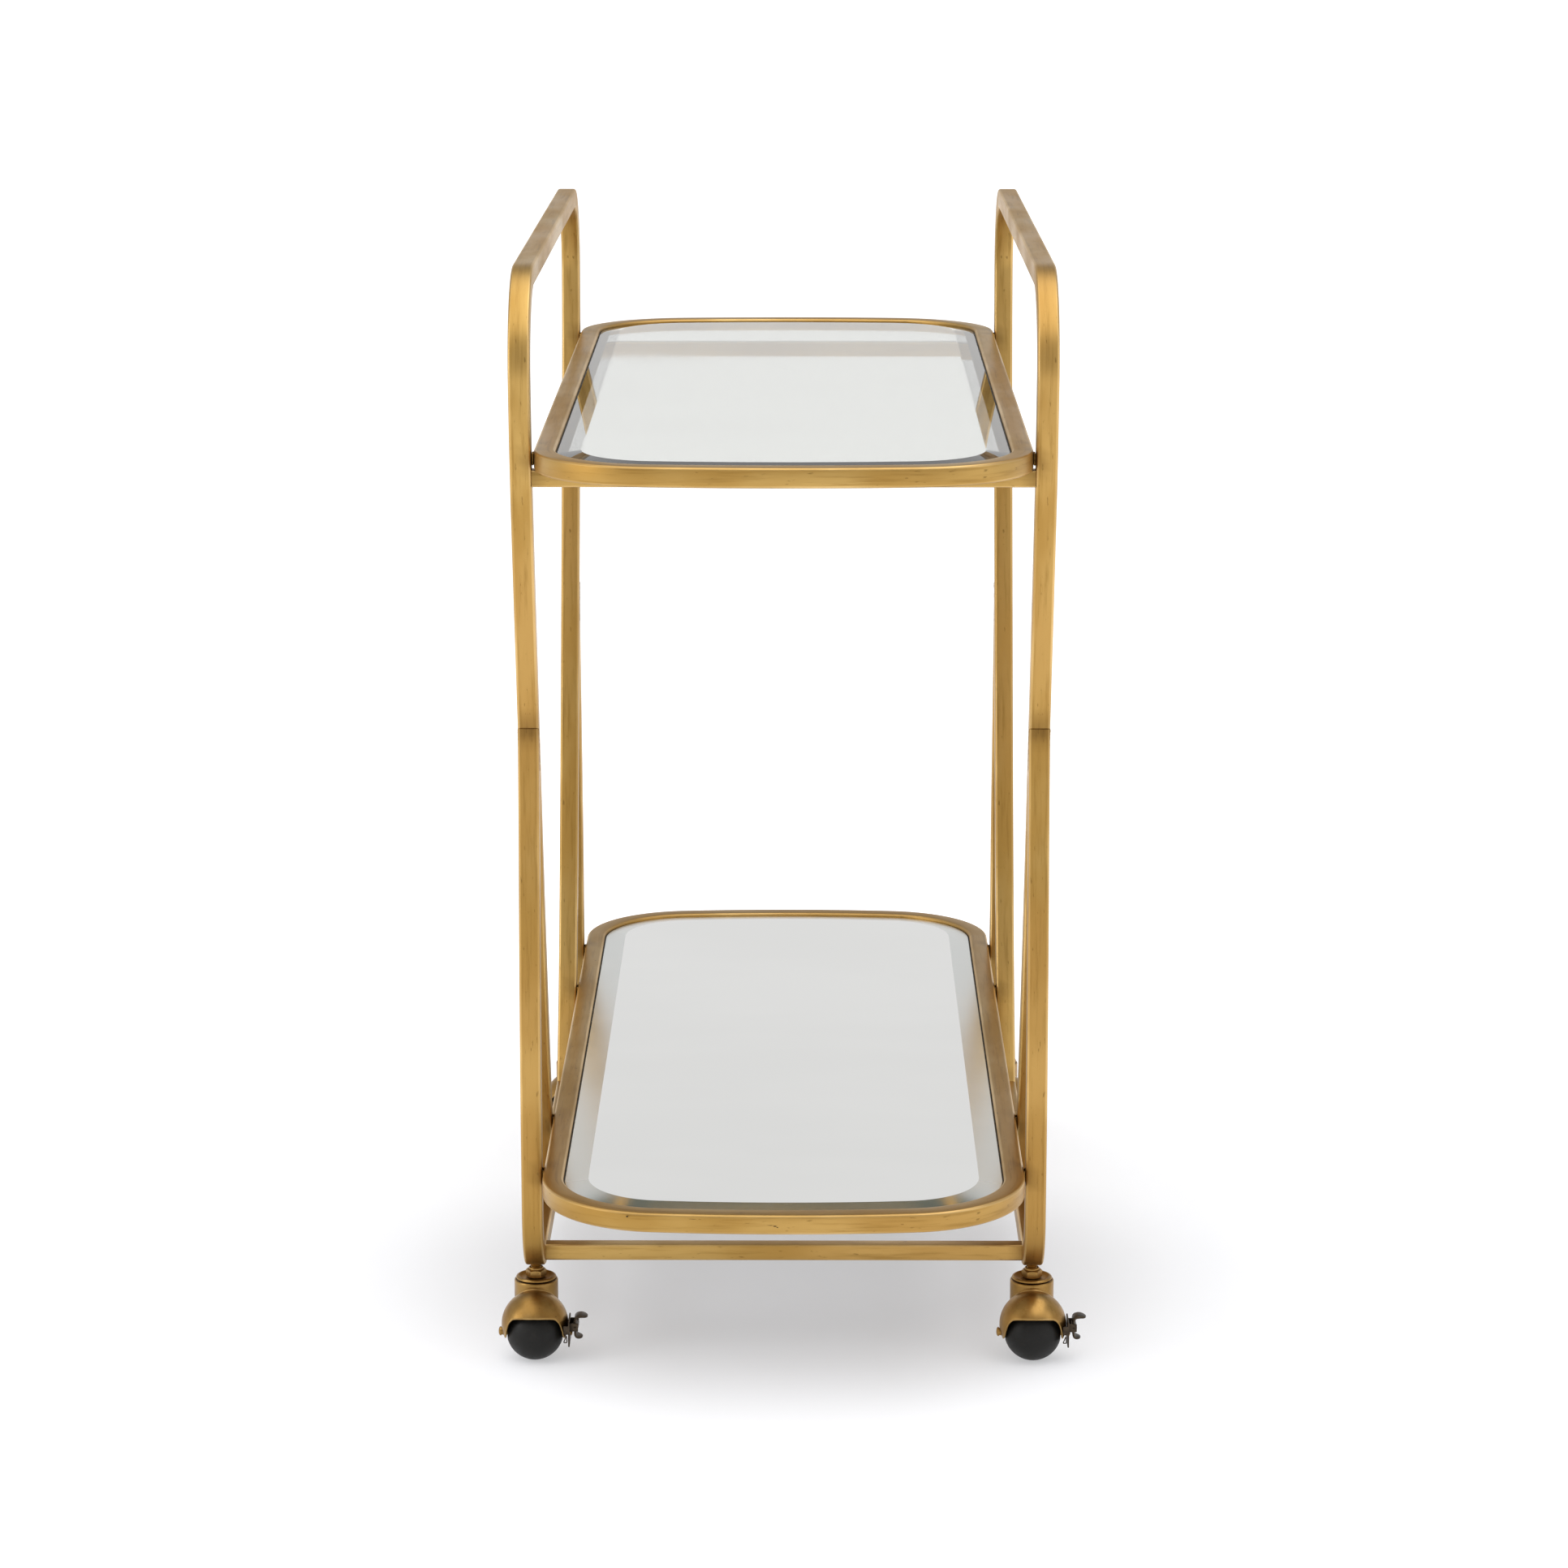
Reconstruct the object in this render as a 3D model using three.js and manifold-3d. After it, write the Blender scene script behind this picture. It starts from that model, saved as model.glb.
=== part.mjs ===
// A two-tier bar cart: two bent square-tube side frames, a glass tray, a mirror tray and four ball casters.
// Millimetres. X runs across the cart, Y along it with the front at -Y, and Z up from the floor.
import * as THREE from "three";
import { mergeVertices } from "three/addons/utils/BufferGeometryUtils.js";
import Module from "manifold-3d";

const wasm = await Module();
wasm.setup();

// ---------------------------------------------------------------- driving dimensions
const GAP = 0.3; // left between pieces that touch
const TUBE = 16; // side of the square tube
const TUBE_EDGE = 2; // radius of the tube's long edges
const FRAME_X = 193.5; // tube centre of each side frame
const HANDLE_TOP = 850;
const RAIL_Z = 76; // tube centre of each base rail
const HANDLE_RADIUS = 67; // centreline radius of the handle's bends
const BASE_RADIUS = 47; // centreline radius of the base rail's bends
const LEG_TOP = 499; // height of the waist, where a leg leaves its post

const TRAY_HALF_WIDTH = 183.9;
const TRAY_HALF_LENGTH = 470;
const TRAY_CORNER = 95; // plan radius of the corners
const TRAY_BOW = 1000; // plan radius of the gently bowed ends
const RIM_HEIGHT = 15;
const TOP_TRAY_Z = 720; // upper face of each rim
const BOTTOM_TRAY_Z = 161;

const PANEL_THICK = 5;
const PANEL_RECESS = 0.8; // below the rim's upper face
const PANEL_REVEAL = 1; // shadow gap round the panel
const PANEL_BEVEL = 18; // width of the ground border
const BEVEL_DROP = 2;
const LEDGE_WIDTH = 10;
const LEDGE_THICK = 3;

const BAR = 12.7; // side of the cross members
const STRETCHER_Y = 309;
const TAB_LENGTH = 12; // weld tabs between a rim and a side frame
const TAB_HEIGHT = 9;

const CASTER_Y = 308; // swivel axis
const CASTER_TRAIL = 22; // ball centre behind the swivel axis
const BALL_RADIUS = 22.2;
const BALL_FLAT = 21.2; // half-width of the ball between its flats
const HOOD_RISE = 6.2; // hood's centre above the ball's centre
const HOOD_INNER = 24.5;
const HOOD_OUTER = 26;
const AXLE_RADIUS = 3;
const STEM_RADIUS = 4.25;
const STEM_BOTTOM = 47.5;
const STEM_TOP = 80;
const NECK_RADIUS = 17;
const NECK_BOTTOM = 36.5;
const NECK_TOP = 58;

// Half of a side frame's post, as distance from the middle and height, from the base rail up to the handle.
const POST_POINTS = [
  [156, 70],
  [184, 122],
  [212, 180],
  [256, 300],
  [294, 420],
  [326, 530],
  [355, 630],
  [375, 712],
  [382, HANDLE_TOP - TUBE / 2 - HANDLE_RADIUS],
];
// Half of a base loop's leg, from the waist down to the bend of the base rail.
const LEG_POINTS = [
  [318.4, LEG_TOP],
  [325, 421],
  [333, 355],
  [340, 284],
  [343.5, 205],
  [343.5, RAIL_Z + BASE_RADIUS],
];

// Sides given to round pieces, by size.
const SMALL_ROUND = 12;
const ROUND = 20;

const brass = new THREE.MeshStandardMaterial({ color: 0xb08d4e, metalness: 1, roughness: 0.38 });
const glass = new THREE.MeshStandardMaterial({
  color: 0xe4ece8,
  metalness: 0,
  roughness: 0.05,
  transparent: true,
  opacity: 0.4,
});
const mirror = new THREE.MeshStandardMaterial({ color: 0xdfe0de, metalness: 1, roughness: 0.04 });
const rubber = new THREE.MeshStandardMaterial({ color: 0x22201c, metalness: 0, roughness: 0.6 });
const bronze = new THREE.MeshStandardMaterial({ color: 0x463c30, metalness: 0.8, roughness: 0.5 });

const cart = new THREE.Group();

function addPiece(parent, name, geometry, material) {
  const piece = new THREE.Mesh(geometry, material);
  piece.name = name;
  parent.add(piece);
  return piece;
}

// ---------------------------------------------------------------- solids and outlines
function solidOf(geometry) {
  const bare = geometry.clone();
  bare.deleteAttribute("normal");
  bare.deleteAttribute("uv");
  const merged = mergeVertices(bare, 1e-4);
  const vertProperties = merged.attributes.position.array;
  const triVerts = new Uint32Array(merged.index.array);
  return new wasm.Manifold(new wasm.Mesh({ numProp: 3, vertProperties, triVerts }));
}

function geometryOf(solid) {
  const mesh = solid.getMesh();
  const geometry = new THREE.BufferGeometry();
  geometry.setAttribute("position", new THREE.BufferAttribute(mesh.vertProperties, 3));
  geometry.setIndex(new THREE.BufferAttribute(mesh.triVerts, 1));
  geometry.computeVertexNormals();
  return geometry;
}

// The points of an arc about a centre, both ends included.
function arc(centre, radius, from, to, steps) {
  return Array.from({ length: steps + 1 }, (_, i) => {
    const angle = from + ((to - from) * i) / steps;
    return [centre[0] + radius * Math.cos(angle), centre[1] + radius * Math.sin(angle)];
  });
}

function spline(points, steps) {
  const curve = new THREE.SplineCurve(points.map(([x, y]) => new THREE.Vector2(x, y)));
  return curve.getPoints(steps).map((p) => [p.x, p.y]);
}

// A line moved sideways: positive distances go to the right of its direction.
function offsetLine(points, distance) {
  return points.map(([x, y], i) => {
    const before = points[Math.max(i - 1, 0)];
    const after = points[Math.min(i + 1, points.length - 1)];
    const dx = after[0] - before[0];
    const dy = after[1] - before[1];
    const length = Math.hypot(dx, dy);
    return [x + (distance * dy) / length, y - (distance * dx) / length];
  });
}

// A half line from one end to the middle becomes the whole symmetric line.
function wholeLine(half) {
  return [...half, ...half.map(([x, y]) => [-x, y]).reverse()];
}

function bandShape(centreline, width) {
  const outer = offsetLine(centreline, width / 2);
  const inner = offsetLine(centreline, -width / 2).reverse();
  return new THREE.Shape([...outer, ...inner].map(([x, y]) => new THREE.Vector2(x, y)));
}

// A shape drawn in Y and Z, drawn out along X about a middle, with rounded long edges.
function acrossX(shape, width, middle, edge) {
  const geometry = new THREE.ExtrudeGeometry(shape, {
    depth: width - 2 * edge,
    steps: 1,
    bevelEnabled: edge > 0,
    bevelThickness: edge,
    bevelSize: edge,
    bevelOffset: -edge,
    bevelSegments: 1,
  });
  geometry.translate(0, 0, edge - width / 2);
  const toFrame = new THREE.Matrix4().makeBasis(
    new THREE.Vector3(0, 1, 0),
    new THREE.Vector3(0, 0, 1),
    new THREE.Vector3(1, 0, 0),
  );
  geometry.applyMatrix4(toFrame);
  return geometry.translate(middle, 0, 0);
}

function boxBetween(low, high) {
  const size = high.map((value, i) => value - low[i]);
  const geometry = new THREE.BoxGeometry(...size);
  return geometry.translate(...low.map((value, i) => value + size[i] / 2));
}

function upright(geometry) {
  return geometry.rotateX(Math.PI / 2);
}

// A turned piece about Z from radius and height pairs that run upwards on the outside.
function turned(profile, segments) {
  const points = profile.map(([radius, height]) => new THREE.Vector2(radius, height));
  return upright(new THREE.LatheGeometry(points, segments));
}

// Quads between rings of equal length; the last ring joins the first, or both ends are capped.
function joinRings(rings, closed) {
  const count = rings[0].length;
  const positions = rings.flat(2);
  const faces = [];
  const last = closed ? rings.length : rings.length - 1;
  for (let k = 0; k < last; k++) {
    const below = k * count;
    const above = ((k + 1) % rings.length) * count;
    for (let i = 0; i < count; i++) {
      const next = (i + 1) % count;
      faces.push(below + i, below + next, above + next);
      faces.push(below + i, above + next, above + i);
    }
  }
  if (!closed) {
    const outline = rings[0].map(([x, y]) => new THREE.Vector2(x, y));
    const top = (rings.length - 1) * count;
    for (const [a, b, c] of THREE.ShapeUtils.triangulateShape(outline, [])) {
      faces.push(a, c, b);
      faces.push(top + a, top + b, top + c);
    }
  }
  const geometry = new THREE.BufferGeometry();
  geometry.setAttribute("position", new THREE.Float32BufferAttribute(positions, 3));
  geometry.setIndex(faces);
  geometry.computeVertexNormals();
  return geometry;
}

// The tray's plan outline, moved inwards by an inset, at one height.
function trayOutline(inset, z) {
  const cornerX = TRAY_HALF_WIDTH - TRAY_CORNER;
  const bowY = TRAY_HALF_LENGTH - TRAY_BOW;
  const cornerY = bowY + Math.sqrt((TRAY_BOW - TRAY_CORNER) ** 2 - cornerX ** 2);
  const turn = Math.atan2(cornerY - bowY, cornerX);
  const corner = arc([cornerX, cornerY], TRAY_CORNER - inset, 0, turn, 8);
  const bow = arc([0, bowY], TRAY_BOW - inset, turn, Math.PI / 2, 4).slice(1, -1);
  const apex = [0, TRAY_HALF_LENGTH - inset];
  const quarter = [...corner, ...bow];
  const half = [...quarter, apex, ...quarter.map(([x, y]) => [-x, y]).reverse()];
  return [...half, ...half.map(([x, y]) => [-x, -y])].map(([x, y]) => [x, y, z]);
}

// ---------------------------------------------------------------- side frames
const handleBend = arc(
  [POST_POINTS.at(-1)[0] - HANDLE_RADIUS, POST_POINTS.at(-1)[1]],
  HANDLE_RADIUS,
  0,
  Math.PI / 2,
  8,
);
const postLine = spline(POST_POINTS, 22);
const upperLine = wholeLine([...postLine, ...handleBend.slice(1)]);

const baseBend = arc(
  [LEG_POINTS.at(-1)[0] - BASE_RADIUS, LEG_POINTS.at(-1)[1]],
  BASE_RADIUS,
  0,
  -Math.PI / 2,
  7,
);
const legLine = spline(LEG_POINTS, 14);
const baseLine = wholeLine([...legLine, ...baseBend.slice(1)]);

// Distance from the middle at which a half line passes a height.
function reachAt(line, height) {
  const index = line.findIndex(([, z], i) => i > 0 && (z - height) * (line[i - 1][1] - height) <= 0);
  const [e0, z0] = line[index - 1];
  const [e1, z1] = line[index];
  return e0 + ((e1 - e0) * (height - z0)) / (z1 - z0);
}

function upperLoop(x) {
  const loop = solidOf(acrossX(bandShape(upperLine, TUBE), TUBE, x, TUBE_EDGE));
  const railTop = RAIL_Z + TUBE / 2 + GAP;
  const below = boxBetween([x - TUBE, -TRAY_HALF_LENGTH, 0], [x + TUBE, TRAY_HALF_LENGTH, railTop]);
  return geometryOf(loop.subtract(solidOf(below)));
}

function baseLoop(x) {
  const line = [...baseLine].reverse();
  let loop = solidOf(acrossX(bandShape(line, TUBE), TUBE, x, TUBE_EDGE));
  const postRoom = solidOf(acrossX(bandShape(upperLine, TUBE + 2 * GAP), TUBE + 2, x, 0));
  const aboveRail = boxBetween([x - TUBE, -400, RAIL_Z + TUBE / 2], [x + TUBE, 400, HANDLE_TOP]);
  loop = loop.subtract(postRoom.intersect(solidOf(aboveRail)));
  const boreRadius = STEM_RADIUS + GAP;
  for (const y of [-CASTER_Y, CASTER_Y]) {
    const boreHeight = STEM_TOP + 2 * GAP;
    const bore = upright(new THREE.CylinderGeometry(boreRadius, boreRadius, boreHeight, SMALL_ROUND));
    loop = loop.subtract(solidOf(bore.translate(x, y, STEM_TOP / 2)));
  }
  return geometryOf(loop);
}

for (const [side, x] of [["left", -FRAME_X], ["right", FRAME_X]]) {
  addPiece(cart, `${side}_upper_loop`, upperLoop(x), brass);
  addPiece(cart, `${side}_base_loop`, baseLoop(x), brass);
}

// ---------------------------------------------------------------- trays
// A rim's or ledge's section, as inset and height pairs, outside face upwards first.
function sectionPoints(fromInset, toInset, low, high, edge) {
  const corners = [
    [fromInset + edge, low + edge, Math.PI],
    [toInset - edge, low + edge, 1.5 * Math.PI],
    [toInset - edge, high - edge, 0],
    [fromInset + edge, high - edge, 0.5 * Math.PI],
  ];
  const points = corners.flatMap(([inset, z, start]) =>
    edge > 0 ? arc([inset, z], edge, start, start + Math.PI / 2, 1) : [[inset, z]],
  );
  return points.reverse();
}

function ringOf(section) {
  return joinRings(section.map(([inset, z]) => trayOutline(inset, z)), true);
}

function trayRim(top) {
  return ringOf(sectionPoints(0, TUBE, top - RIM_HEIGHT, top, TUBE_EDGE));
}

const panelUnder = PANEL_RECESS + PANEL_THICK;

function trayLedge(top) {
  const upper = top - panelUnder - GAP;
  const inset = TUBE + GAP;
  return ringOf(sectionPoints(inset, inset + LEDGE_WIDTH, upper - LEDGE_THICK, upper, 0));
}

function trayPanel(top) {
  const inset = TUBE + PANEL_REVEAL;
  const upper = top - PANEL_RECESS;
  const rings = [
    trayOutline(inset, top - panelUnder),
    trayOutline(inset, upper - BEVEL_DROP),
    trayOutline(inset + PANEL_BEVEL, upper),
  ];
  return joinRings(rings, false);
}

addPiece(cart, "top_tray_rim", trayRim(TOP_TRAY_Z), brass);
addPiece(cart, "top_tray_ledge", trayLedge(TOP_TRAY_Z), brass);
addPiece(cart, "top_glass", trayPanel(TOP_TRAY_Z), glass);
addPiece(cart, "bottom_tray_rim", trayRim(BOTTOM_TRAY_Z), brass);
addPiece(cart, "bottom_tray_ledge", trayLedge(BOTTOM_TRAY_Z), brass);
addPiece(cart, "bottom_mirror", trayPanel(BOTTOM_TRAY_Z), mirror);

// ---------------------------------------------------------------- cross members and weld tabs
const innerFace = FRAME_X - TUBE / 2;

function crossMember(y, z) {
  const half = BAR / 2;
  const corners = [
    [y - half, z - half],
    [y + half, z - half],
    [y + half, z + half],
    [y - half, z + half],
  ];
  const shape = new THREE.Shape(corners.map(([a, b]) => new THREE.Vector2(a, b)));
  return acrossX(shape, 2 * (innerFace - GAP), 0, 0);
}

const crossbarZ = TOP_TRAY_Z - RIM_HEIGHT - GAP - BAR / 2;
const crossbarY = reachAt(postLine, crossbarZ);
const stretcherZ = RAIL_Z + 5.2;
for (const [end, sign] of [["front", -1], ["rear", 1]]) {
  addPiece(cart, `${end}_crossbar`, crossMember(sign * crossbarY, crossbarZ), brass);
  addPiece(cart, `${end}_stretcher`, crossMember(sign * STRETCHER_Y, stretcherZ), brass);
}

function weldTab(sideSign, y, z) {
  const near = TRAY_HALF_WIDTH + GAP;
  const far = innerFace - GAP;
  const xs = [sideSign * near, sideSign * far].sort((a, b) => a - b);
  return boxBetween(
    [xs[0], y - TAB_LENGTH / 2, z - TAB_HEIGHT / 2],
    [xs[1], y + TAB_LENGTH / 2, z + TAB_HEIGHT / 2],
  );
}

const topTabZ = TOP_TRAY_Z - RIM_HEIGHT / 2;
const bottomTabZ = BOTTOM_TRAY_Z - RIM_HEIGHT / 2;
const tabPlaces = [
  ["top", reachAt(postLine, topTabZ) - TUBE / 4, topTabZ],
  ["post", reachAt(postLine, bottomTabZ), bottomTabZ],
  ["leg", reachAt(legLine, bottomTabZ), bottomTabZ],
];
for (const [side, sideSign] of [["left", -1], ["right", 1]]) {
  for (const [end, endSign] of [["front", -1], ["rear", 1]]) {
    for (const [place, reach, z] of tabPlaces) {
      addPiece(cart, `${end}_${side}_${place}_weld`, weldTab(sideSign, endSign * reach, z), brass);
    }
  }
}

// ---------------------------------------------------------------- casters
// Caster pieces are drawn about the swivel axis, with the ball ahead of it towards -Y.
const BALL_CENTRE = [0, -CASTER_TRAIL, BALL_RADIUS];
const HOOD_CENTRE = [0, -CASTER_TRAIL, BALL_RADIUS + HOOD_RISE];

function alongX(geometry) {
  return geometry.rotateY(Math.PI / 2).translate(...BALL_CENTRE);
}

function ballGeometry() {
  const rim = Math.acos(BALL_FLAT / BALL_RADIUS);
  const bore = AXLE_RADIUS + GAP;
  const surface = arc([0, 0], BALL_RADIUS, rim, Math.PI - rim, 8).map(([h, r]) => [r, h]).reverse();
  const profile = [[bore, -BALL_FLAT], ...surface, [bore, BALL_FLAT], [bore, -BALL_FLAT]];
  return alongX(turned(profile, ROUND));
}

function axleRoom() {
  const radius = AXLE_RADIUS + GAP;
  return new THREE.CylinderGeometry(radius, radius, 80, SMALL_ROUND).rotateZ(Math.PI / 2);
}

// The axle with a low round head on each end; the right-hand head may stand further out over a brake plate.
function axleGeometry(rightHead, rightThick) {
  const headRadius = 3.6;
  const leftThick = 2.1;
  const leftHead = HOOD_OUTER + GAP;
  const profile = [
    [0, -leftHead - leftThick],
    [headRadius - 1.4, -leftHead - leftThick],
    [headRadius, -leftHead - 0.8],
    [headRadius, -leftHead],
    [AXLE_RADIUS, -leftHead],
    [AXLE_RADIUS, rightHead],
    [headRadius, rightHead],
    [headRadius, rightHead + 0.8],
    [headRadius - 1.4, rightHead + rightThick],
    [0, rightHead + rightThick],
  ];
  return alongX(turned(profile, SMALL_ROUND));
}

// The hood's lower edge rises to a brow over the front of the ball and drops to an ear on each side.
function hoodOpening() {
  const ear = spline(
    [
      [-17.5, 14],
      [-16.2, 7.6],
      [-15, 3],
      [-14, -0.8],
      [-13, -4],
      [-10.6, -7.3],
      [-5.5, -10],
      [0, -11],
      [6, -9.3],
      [12, -5.5],
      [30, -4],
    ],
    30,
  );
  const outline = [...ear, [30, 40], [-17.5, 40]];
  const shape = new THREE.Shape(outline.map(([y, z]) => new THREE.Vector2(y, z)));
  const kept = acrossX(shape, 70, 0, 0);
  const browSlope = 0.34;
  const frontZ = 10;
  const below = new THREE.BoxGeometry(80, 120, 60).translate(0, 0, -30);
  below.rotateX(-Math.atan(browSlope)).translate(0, -19, frontZ);
  return solidOf(below).subtract(solidOf(kept));
}

function hoodGeometry() {
  const outer = solidOf(new THREE.SphereGeometry(HOOD_OUTER, 24, 14));
  const inner = solidOf(new THREE.SphereGeometry(HOOD_INNER, 24, 14));
  const neckLow = NECK_BOTTOM - HOOD_CENTRE[2];
  const neckHigh = NECK_TOP - HOOD_CENTRE[2];
  const neck = turned(
    [
      [0, neckLow],
      [NECK_RADIUS - 1.5, neckLow],
      [NECK_RADIUS, neckLow + 1.5],
      [NECK_RADIUS, neckHigh - 1],
      [NECK_RADIUS - 1, neckHigh],
      [0, neckHigh],
    ],
    ROUND,
  ).translate(0, CASTER_TRAIL, 0);
  const boreRadius = STEM_RADIUS + GAP;
  const boreLow = STEM_BOTTOM - GAP - HOOD_CENTRE[2];
  const bore = upright(new THREE.CylinderGeometry(boreRadius, boreRadius, 40, SMALL_ROUND));
  bore.translate(0, CASTER_TRAIL, boreLow + 20);
  const shell = outer
    .subtract(hoodOpening())
    .add(solidOf(neck))
    .subtract(inner)
    .subtract(solidOf(bore))
    .subtract(solidOf(axleRoom().translate(0, 0, -HOOD_RISE)));
  return geometryOf(shell).translate(...HOOD_CENTRE);
}

const stemGeometry = turned(
  [
    [0, STEM_BOTTOM],
    [STEM_RADIUS - 0.8, STEM_BOTTOM],
    [STEM_RADIUS, STEM_BOTTOM + 0.8],
    [STEM_RADIUS, STEM_TOP - 1],
    [STEM_RADIUS - 1, STEM_TOP],
    [0, STEM_TOP],
  ],
  SMALL_ROUND,
);

const capLow = NECK_TOP + GAP;
const capFloor = capLow + 1.2;
const capGeometry = turned(
  [
    [STEM_RADIUS + GAP, capLow],
    [15, capLow],
    [15.7, capLow + 1],
    [15.2, capLow + 2.4],
    [14, capLow + 2.5],
    [9.5, capFloor],
    [STEM_RADIUS + GAP, capFloor],
    [STEM_RADIUS + GAP, capLow],
  ],
  ROUND,
);

function nutGeometry() {
  const acrossCorners = 14 / Math.cos(Math.PI / 6);
  const hexagon = arc([0, 0], acrossCorners / 2, 0, (5 * Math.PI) / 3, 5);
  const shape = new THREE.Shape(hexagon.map(([x, y]) => new THREE.Vector2(x, y)));
  const hole = new THREE.Path().absarc(0, 0, STEM_RADIUS + GAP, 0, 2 * Math.PI, true);
  shape.holes.push(hole);
  const edge = 0.6;
  const hexHeight = 6;
  const options = {
    depth: hexHeight - 2 * edge,
    bevelThickness: edge,
    bevelSize: edge,
    bevelOffset: -edge,
    bevelSegments: 1,
    curveSegments: 6,
  };
  const hex = new THREE.ExtrudeGeometry(shape, options).translate(0, 0, edge);
  const collarTop = RAIL_Z - TUBE / 2 - GAP - (capFloor + GAP);
  const collar = turned(
    [
      [STEM_RADIUS + GAP, hexHeight - 1],
      [5.8, hexHeight - 1],
      [5.8, collarTop - 0.7],
      [5.2, collarTop],
      [STEM_RADIUS + GAP, collarTop],
      [STEM_RADIUS + GAP, hexHeight - 1],
    ],
    SMALL_ROUND,
  );
  return geometryOf(solidOf(hex).add(solidOf(collar))).translate(0, 0, capFloor + GAP);
}

// ---------------------------------------------------------------- brakes
// A brake plate lies on the hood's right side, and a two-pedal rocker turns on a pin between its lugs.
const PLATE_NEAR = HOOD_OUTER + GAP;
const PLATE_THICK = 1.2;
const PLATE_HALF = 8;
const PLATE_FRONT = 14.8; // how far the plate's hook reaches in front of the axle
const LUG_THICK = 1.4;
const PIN_RADIUS = 1.2;
const PIN_X = 31.4; // from the ball centre
const PIN_Z = 27.5; // above the floor
const PEDAL_THICK = 1.8;
const UPPER_REACH = 41.2;
const LOWER_REACH = 37.2;

function cylinderAlongY(radius, length, x, z) {
  return new THREE.CylinderGeometry(radius, radius, length, SMALL_ROUND).translate(x, -CASTER_TRAIL, z);
}

function bracketGeometry() {
  const plate = boxBetween(
    [PLATE_NEAR, -CASTER_TRAIL - PLATE_FRONT, 14],
    [PLATE_NEAR + PLATE_THICK, -CASTER_TRAIL + PLATE_HALF, 34.5],
  );
  const hook = boxBetween(
    [PLATE_NEAR - 3.6, -CASTER_TRAIL - PLATE_FRONT, 24],
    [PLATE_NEAR + PLATE_THICK / 2, -CASTER_TRAIL - PLATE_FRONT + 1, 31],
  );
  let bracket = solidOf(plate).subtract(solidOf(axleRoom().translate(...BALL_CENTRE))).add(solidOf(hook));
  for (const sign of [-1, 1]) {
    const faces = [PLATE_HALF - LUG_THICK, PLATE_HALF].map((y) => sign * y - CASTER_TRAIL);
    const [near, far] = faces.sort((a, b) => a - b);
    const lug = boxBetween(
      [PLATE_NEAR + PLATE_THICK / 2, near, PIN_Z - 3.3],
      [PIN_X + 2.4, far, PIN_Z + 3.3],
    );
    bracket = bracket.add(solidOf(lug));
  }
  return geometryOf(bracket.subtract(solidOf(cylinderAlongY(PIN_RADIUS + GAP, 40, PIN_X, PIN_Z))));
}

// One pedal from its side-view line, rounded in plan where it reaches furthest out.
function pedal(line, reach) {
  const half = PLATE_HALF - LUG_THICK - GAP;
  const profile = bandShape(line, PEDAL_THICK);
  const blade = new THREE.ExtrudeGeometry(profile, { depth: 2 * half, bevelEnabled: false, steps: 1 });
  const tip = arc([reach - half, 0], half, -Math.PI / 2, Math.PI / 2, 10);
  const corners = [[20, -half], ...tip, [20, half]];
  const outline = new THREE.Shape(corners.map(([x, y]) => new THREE.Vector2(x, y)));
  const plan = new THREE.ExtrudeGeometry(outline, { depth: 60, bevelEnabled: false, steps: 1 });
  const rounded = solidOf(upright(blade).translate(0, half, 0)).intersect(solidOf(plan));
  return rounded.translate([0, -CASTER_TRAIL, 0]);
}

function leverGeometry() {
  const hubWidth = 2 * (PLATE_HALF - LUG_THICK - GAP);
  const upper = [
    [PIN_X, PIN_Z - 1],
    [PIN_X, PIN_Z + 4.6],
    [PIN_X + 0.7, PIN_Z + 6.7],
    [PIN_X + 2.6, PIN_Z + 7.7],
    [PIN_X + 5.5, PIN_Z + 8.1],
    [UPPER_REACH, PIN_Z + 7.2],
  ];
  const lower = [
    [PIN_X, PIN_Z + 1],
    [PIN_X, PIN_Z - 6],
    [PIN_X + 0.8, PIN_Z - 8.2],
    [PIN_X + 2.8, PIN_Z - 9.4],
    [LOWER_REACH, PIN_Z - 9.6],
  ];
  const lever = solidOf(cylinderAlongY(2.6, hubWidth, PIN_X, PIN_Z))
    .add(pedal(upper, UPPER_REACH))
    .add(pedal(lower, LOWER_REACH))
    .subtract(solidOf(cylinderAlongY(PIN_RADIUS + GAP, 40, PIN_X, PIN_Z)));
  return geometryOf(lever);
}

// A wire loop that hangs under the plate's hook and returns the rocker.
function springGeometry() {
  const triangle = [
    [22.4, 17.2],
    [25.9, 17.2],
    [25.1, 23.6],
  ];
  const middle = [0, 1].map((axis) => triangle.reduce((sum, p) => sum + p[axis], 0) / triangle.length);
  const shape = new THREE.Shape(triangle.map(([x, z]) => new THREE.Vector2(x, z)));
  const inner = triangle.map(([x, z]) => [(x + middle[0]) / 2, (z + middle[1]) / 2]);
  shape.holes.push(new THREE.Path(inner.map(([x, z]) => new THREE.Vector2(x, z))));
  const wire = new THREE.ExtrudeGeometry(shape, { depth: 1, bevelEnabled: false, steps: 1 });
  return geometryOf(solidOf(upright(wire).translate(0, 1 - CASTER_TRAIL - PLATE_FRONT, 0)));
}

const ball = ballGeometry();
const hood = hoodGeometry();
const plainAxle = axleGeometry(HOOD_OUTER + GAP, 2.1);
const brakedAxle = axleGeometry(PLATE_NEAR + PLATE_THICK + GAP, 1.4);
const nut = nutGeometry();

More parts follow.
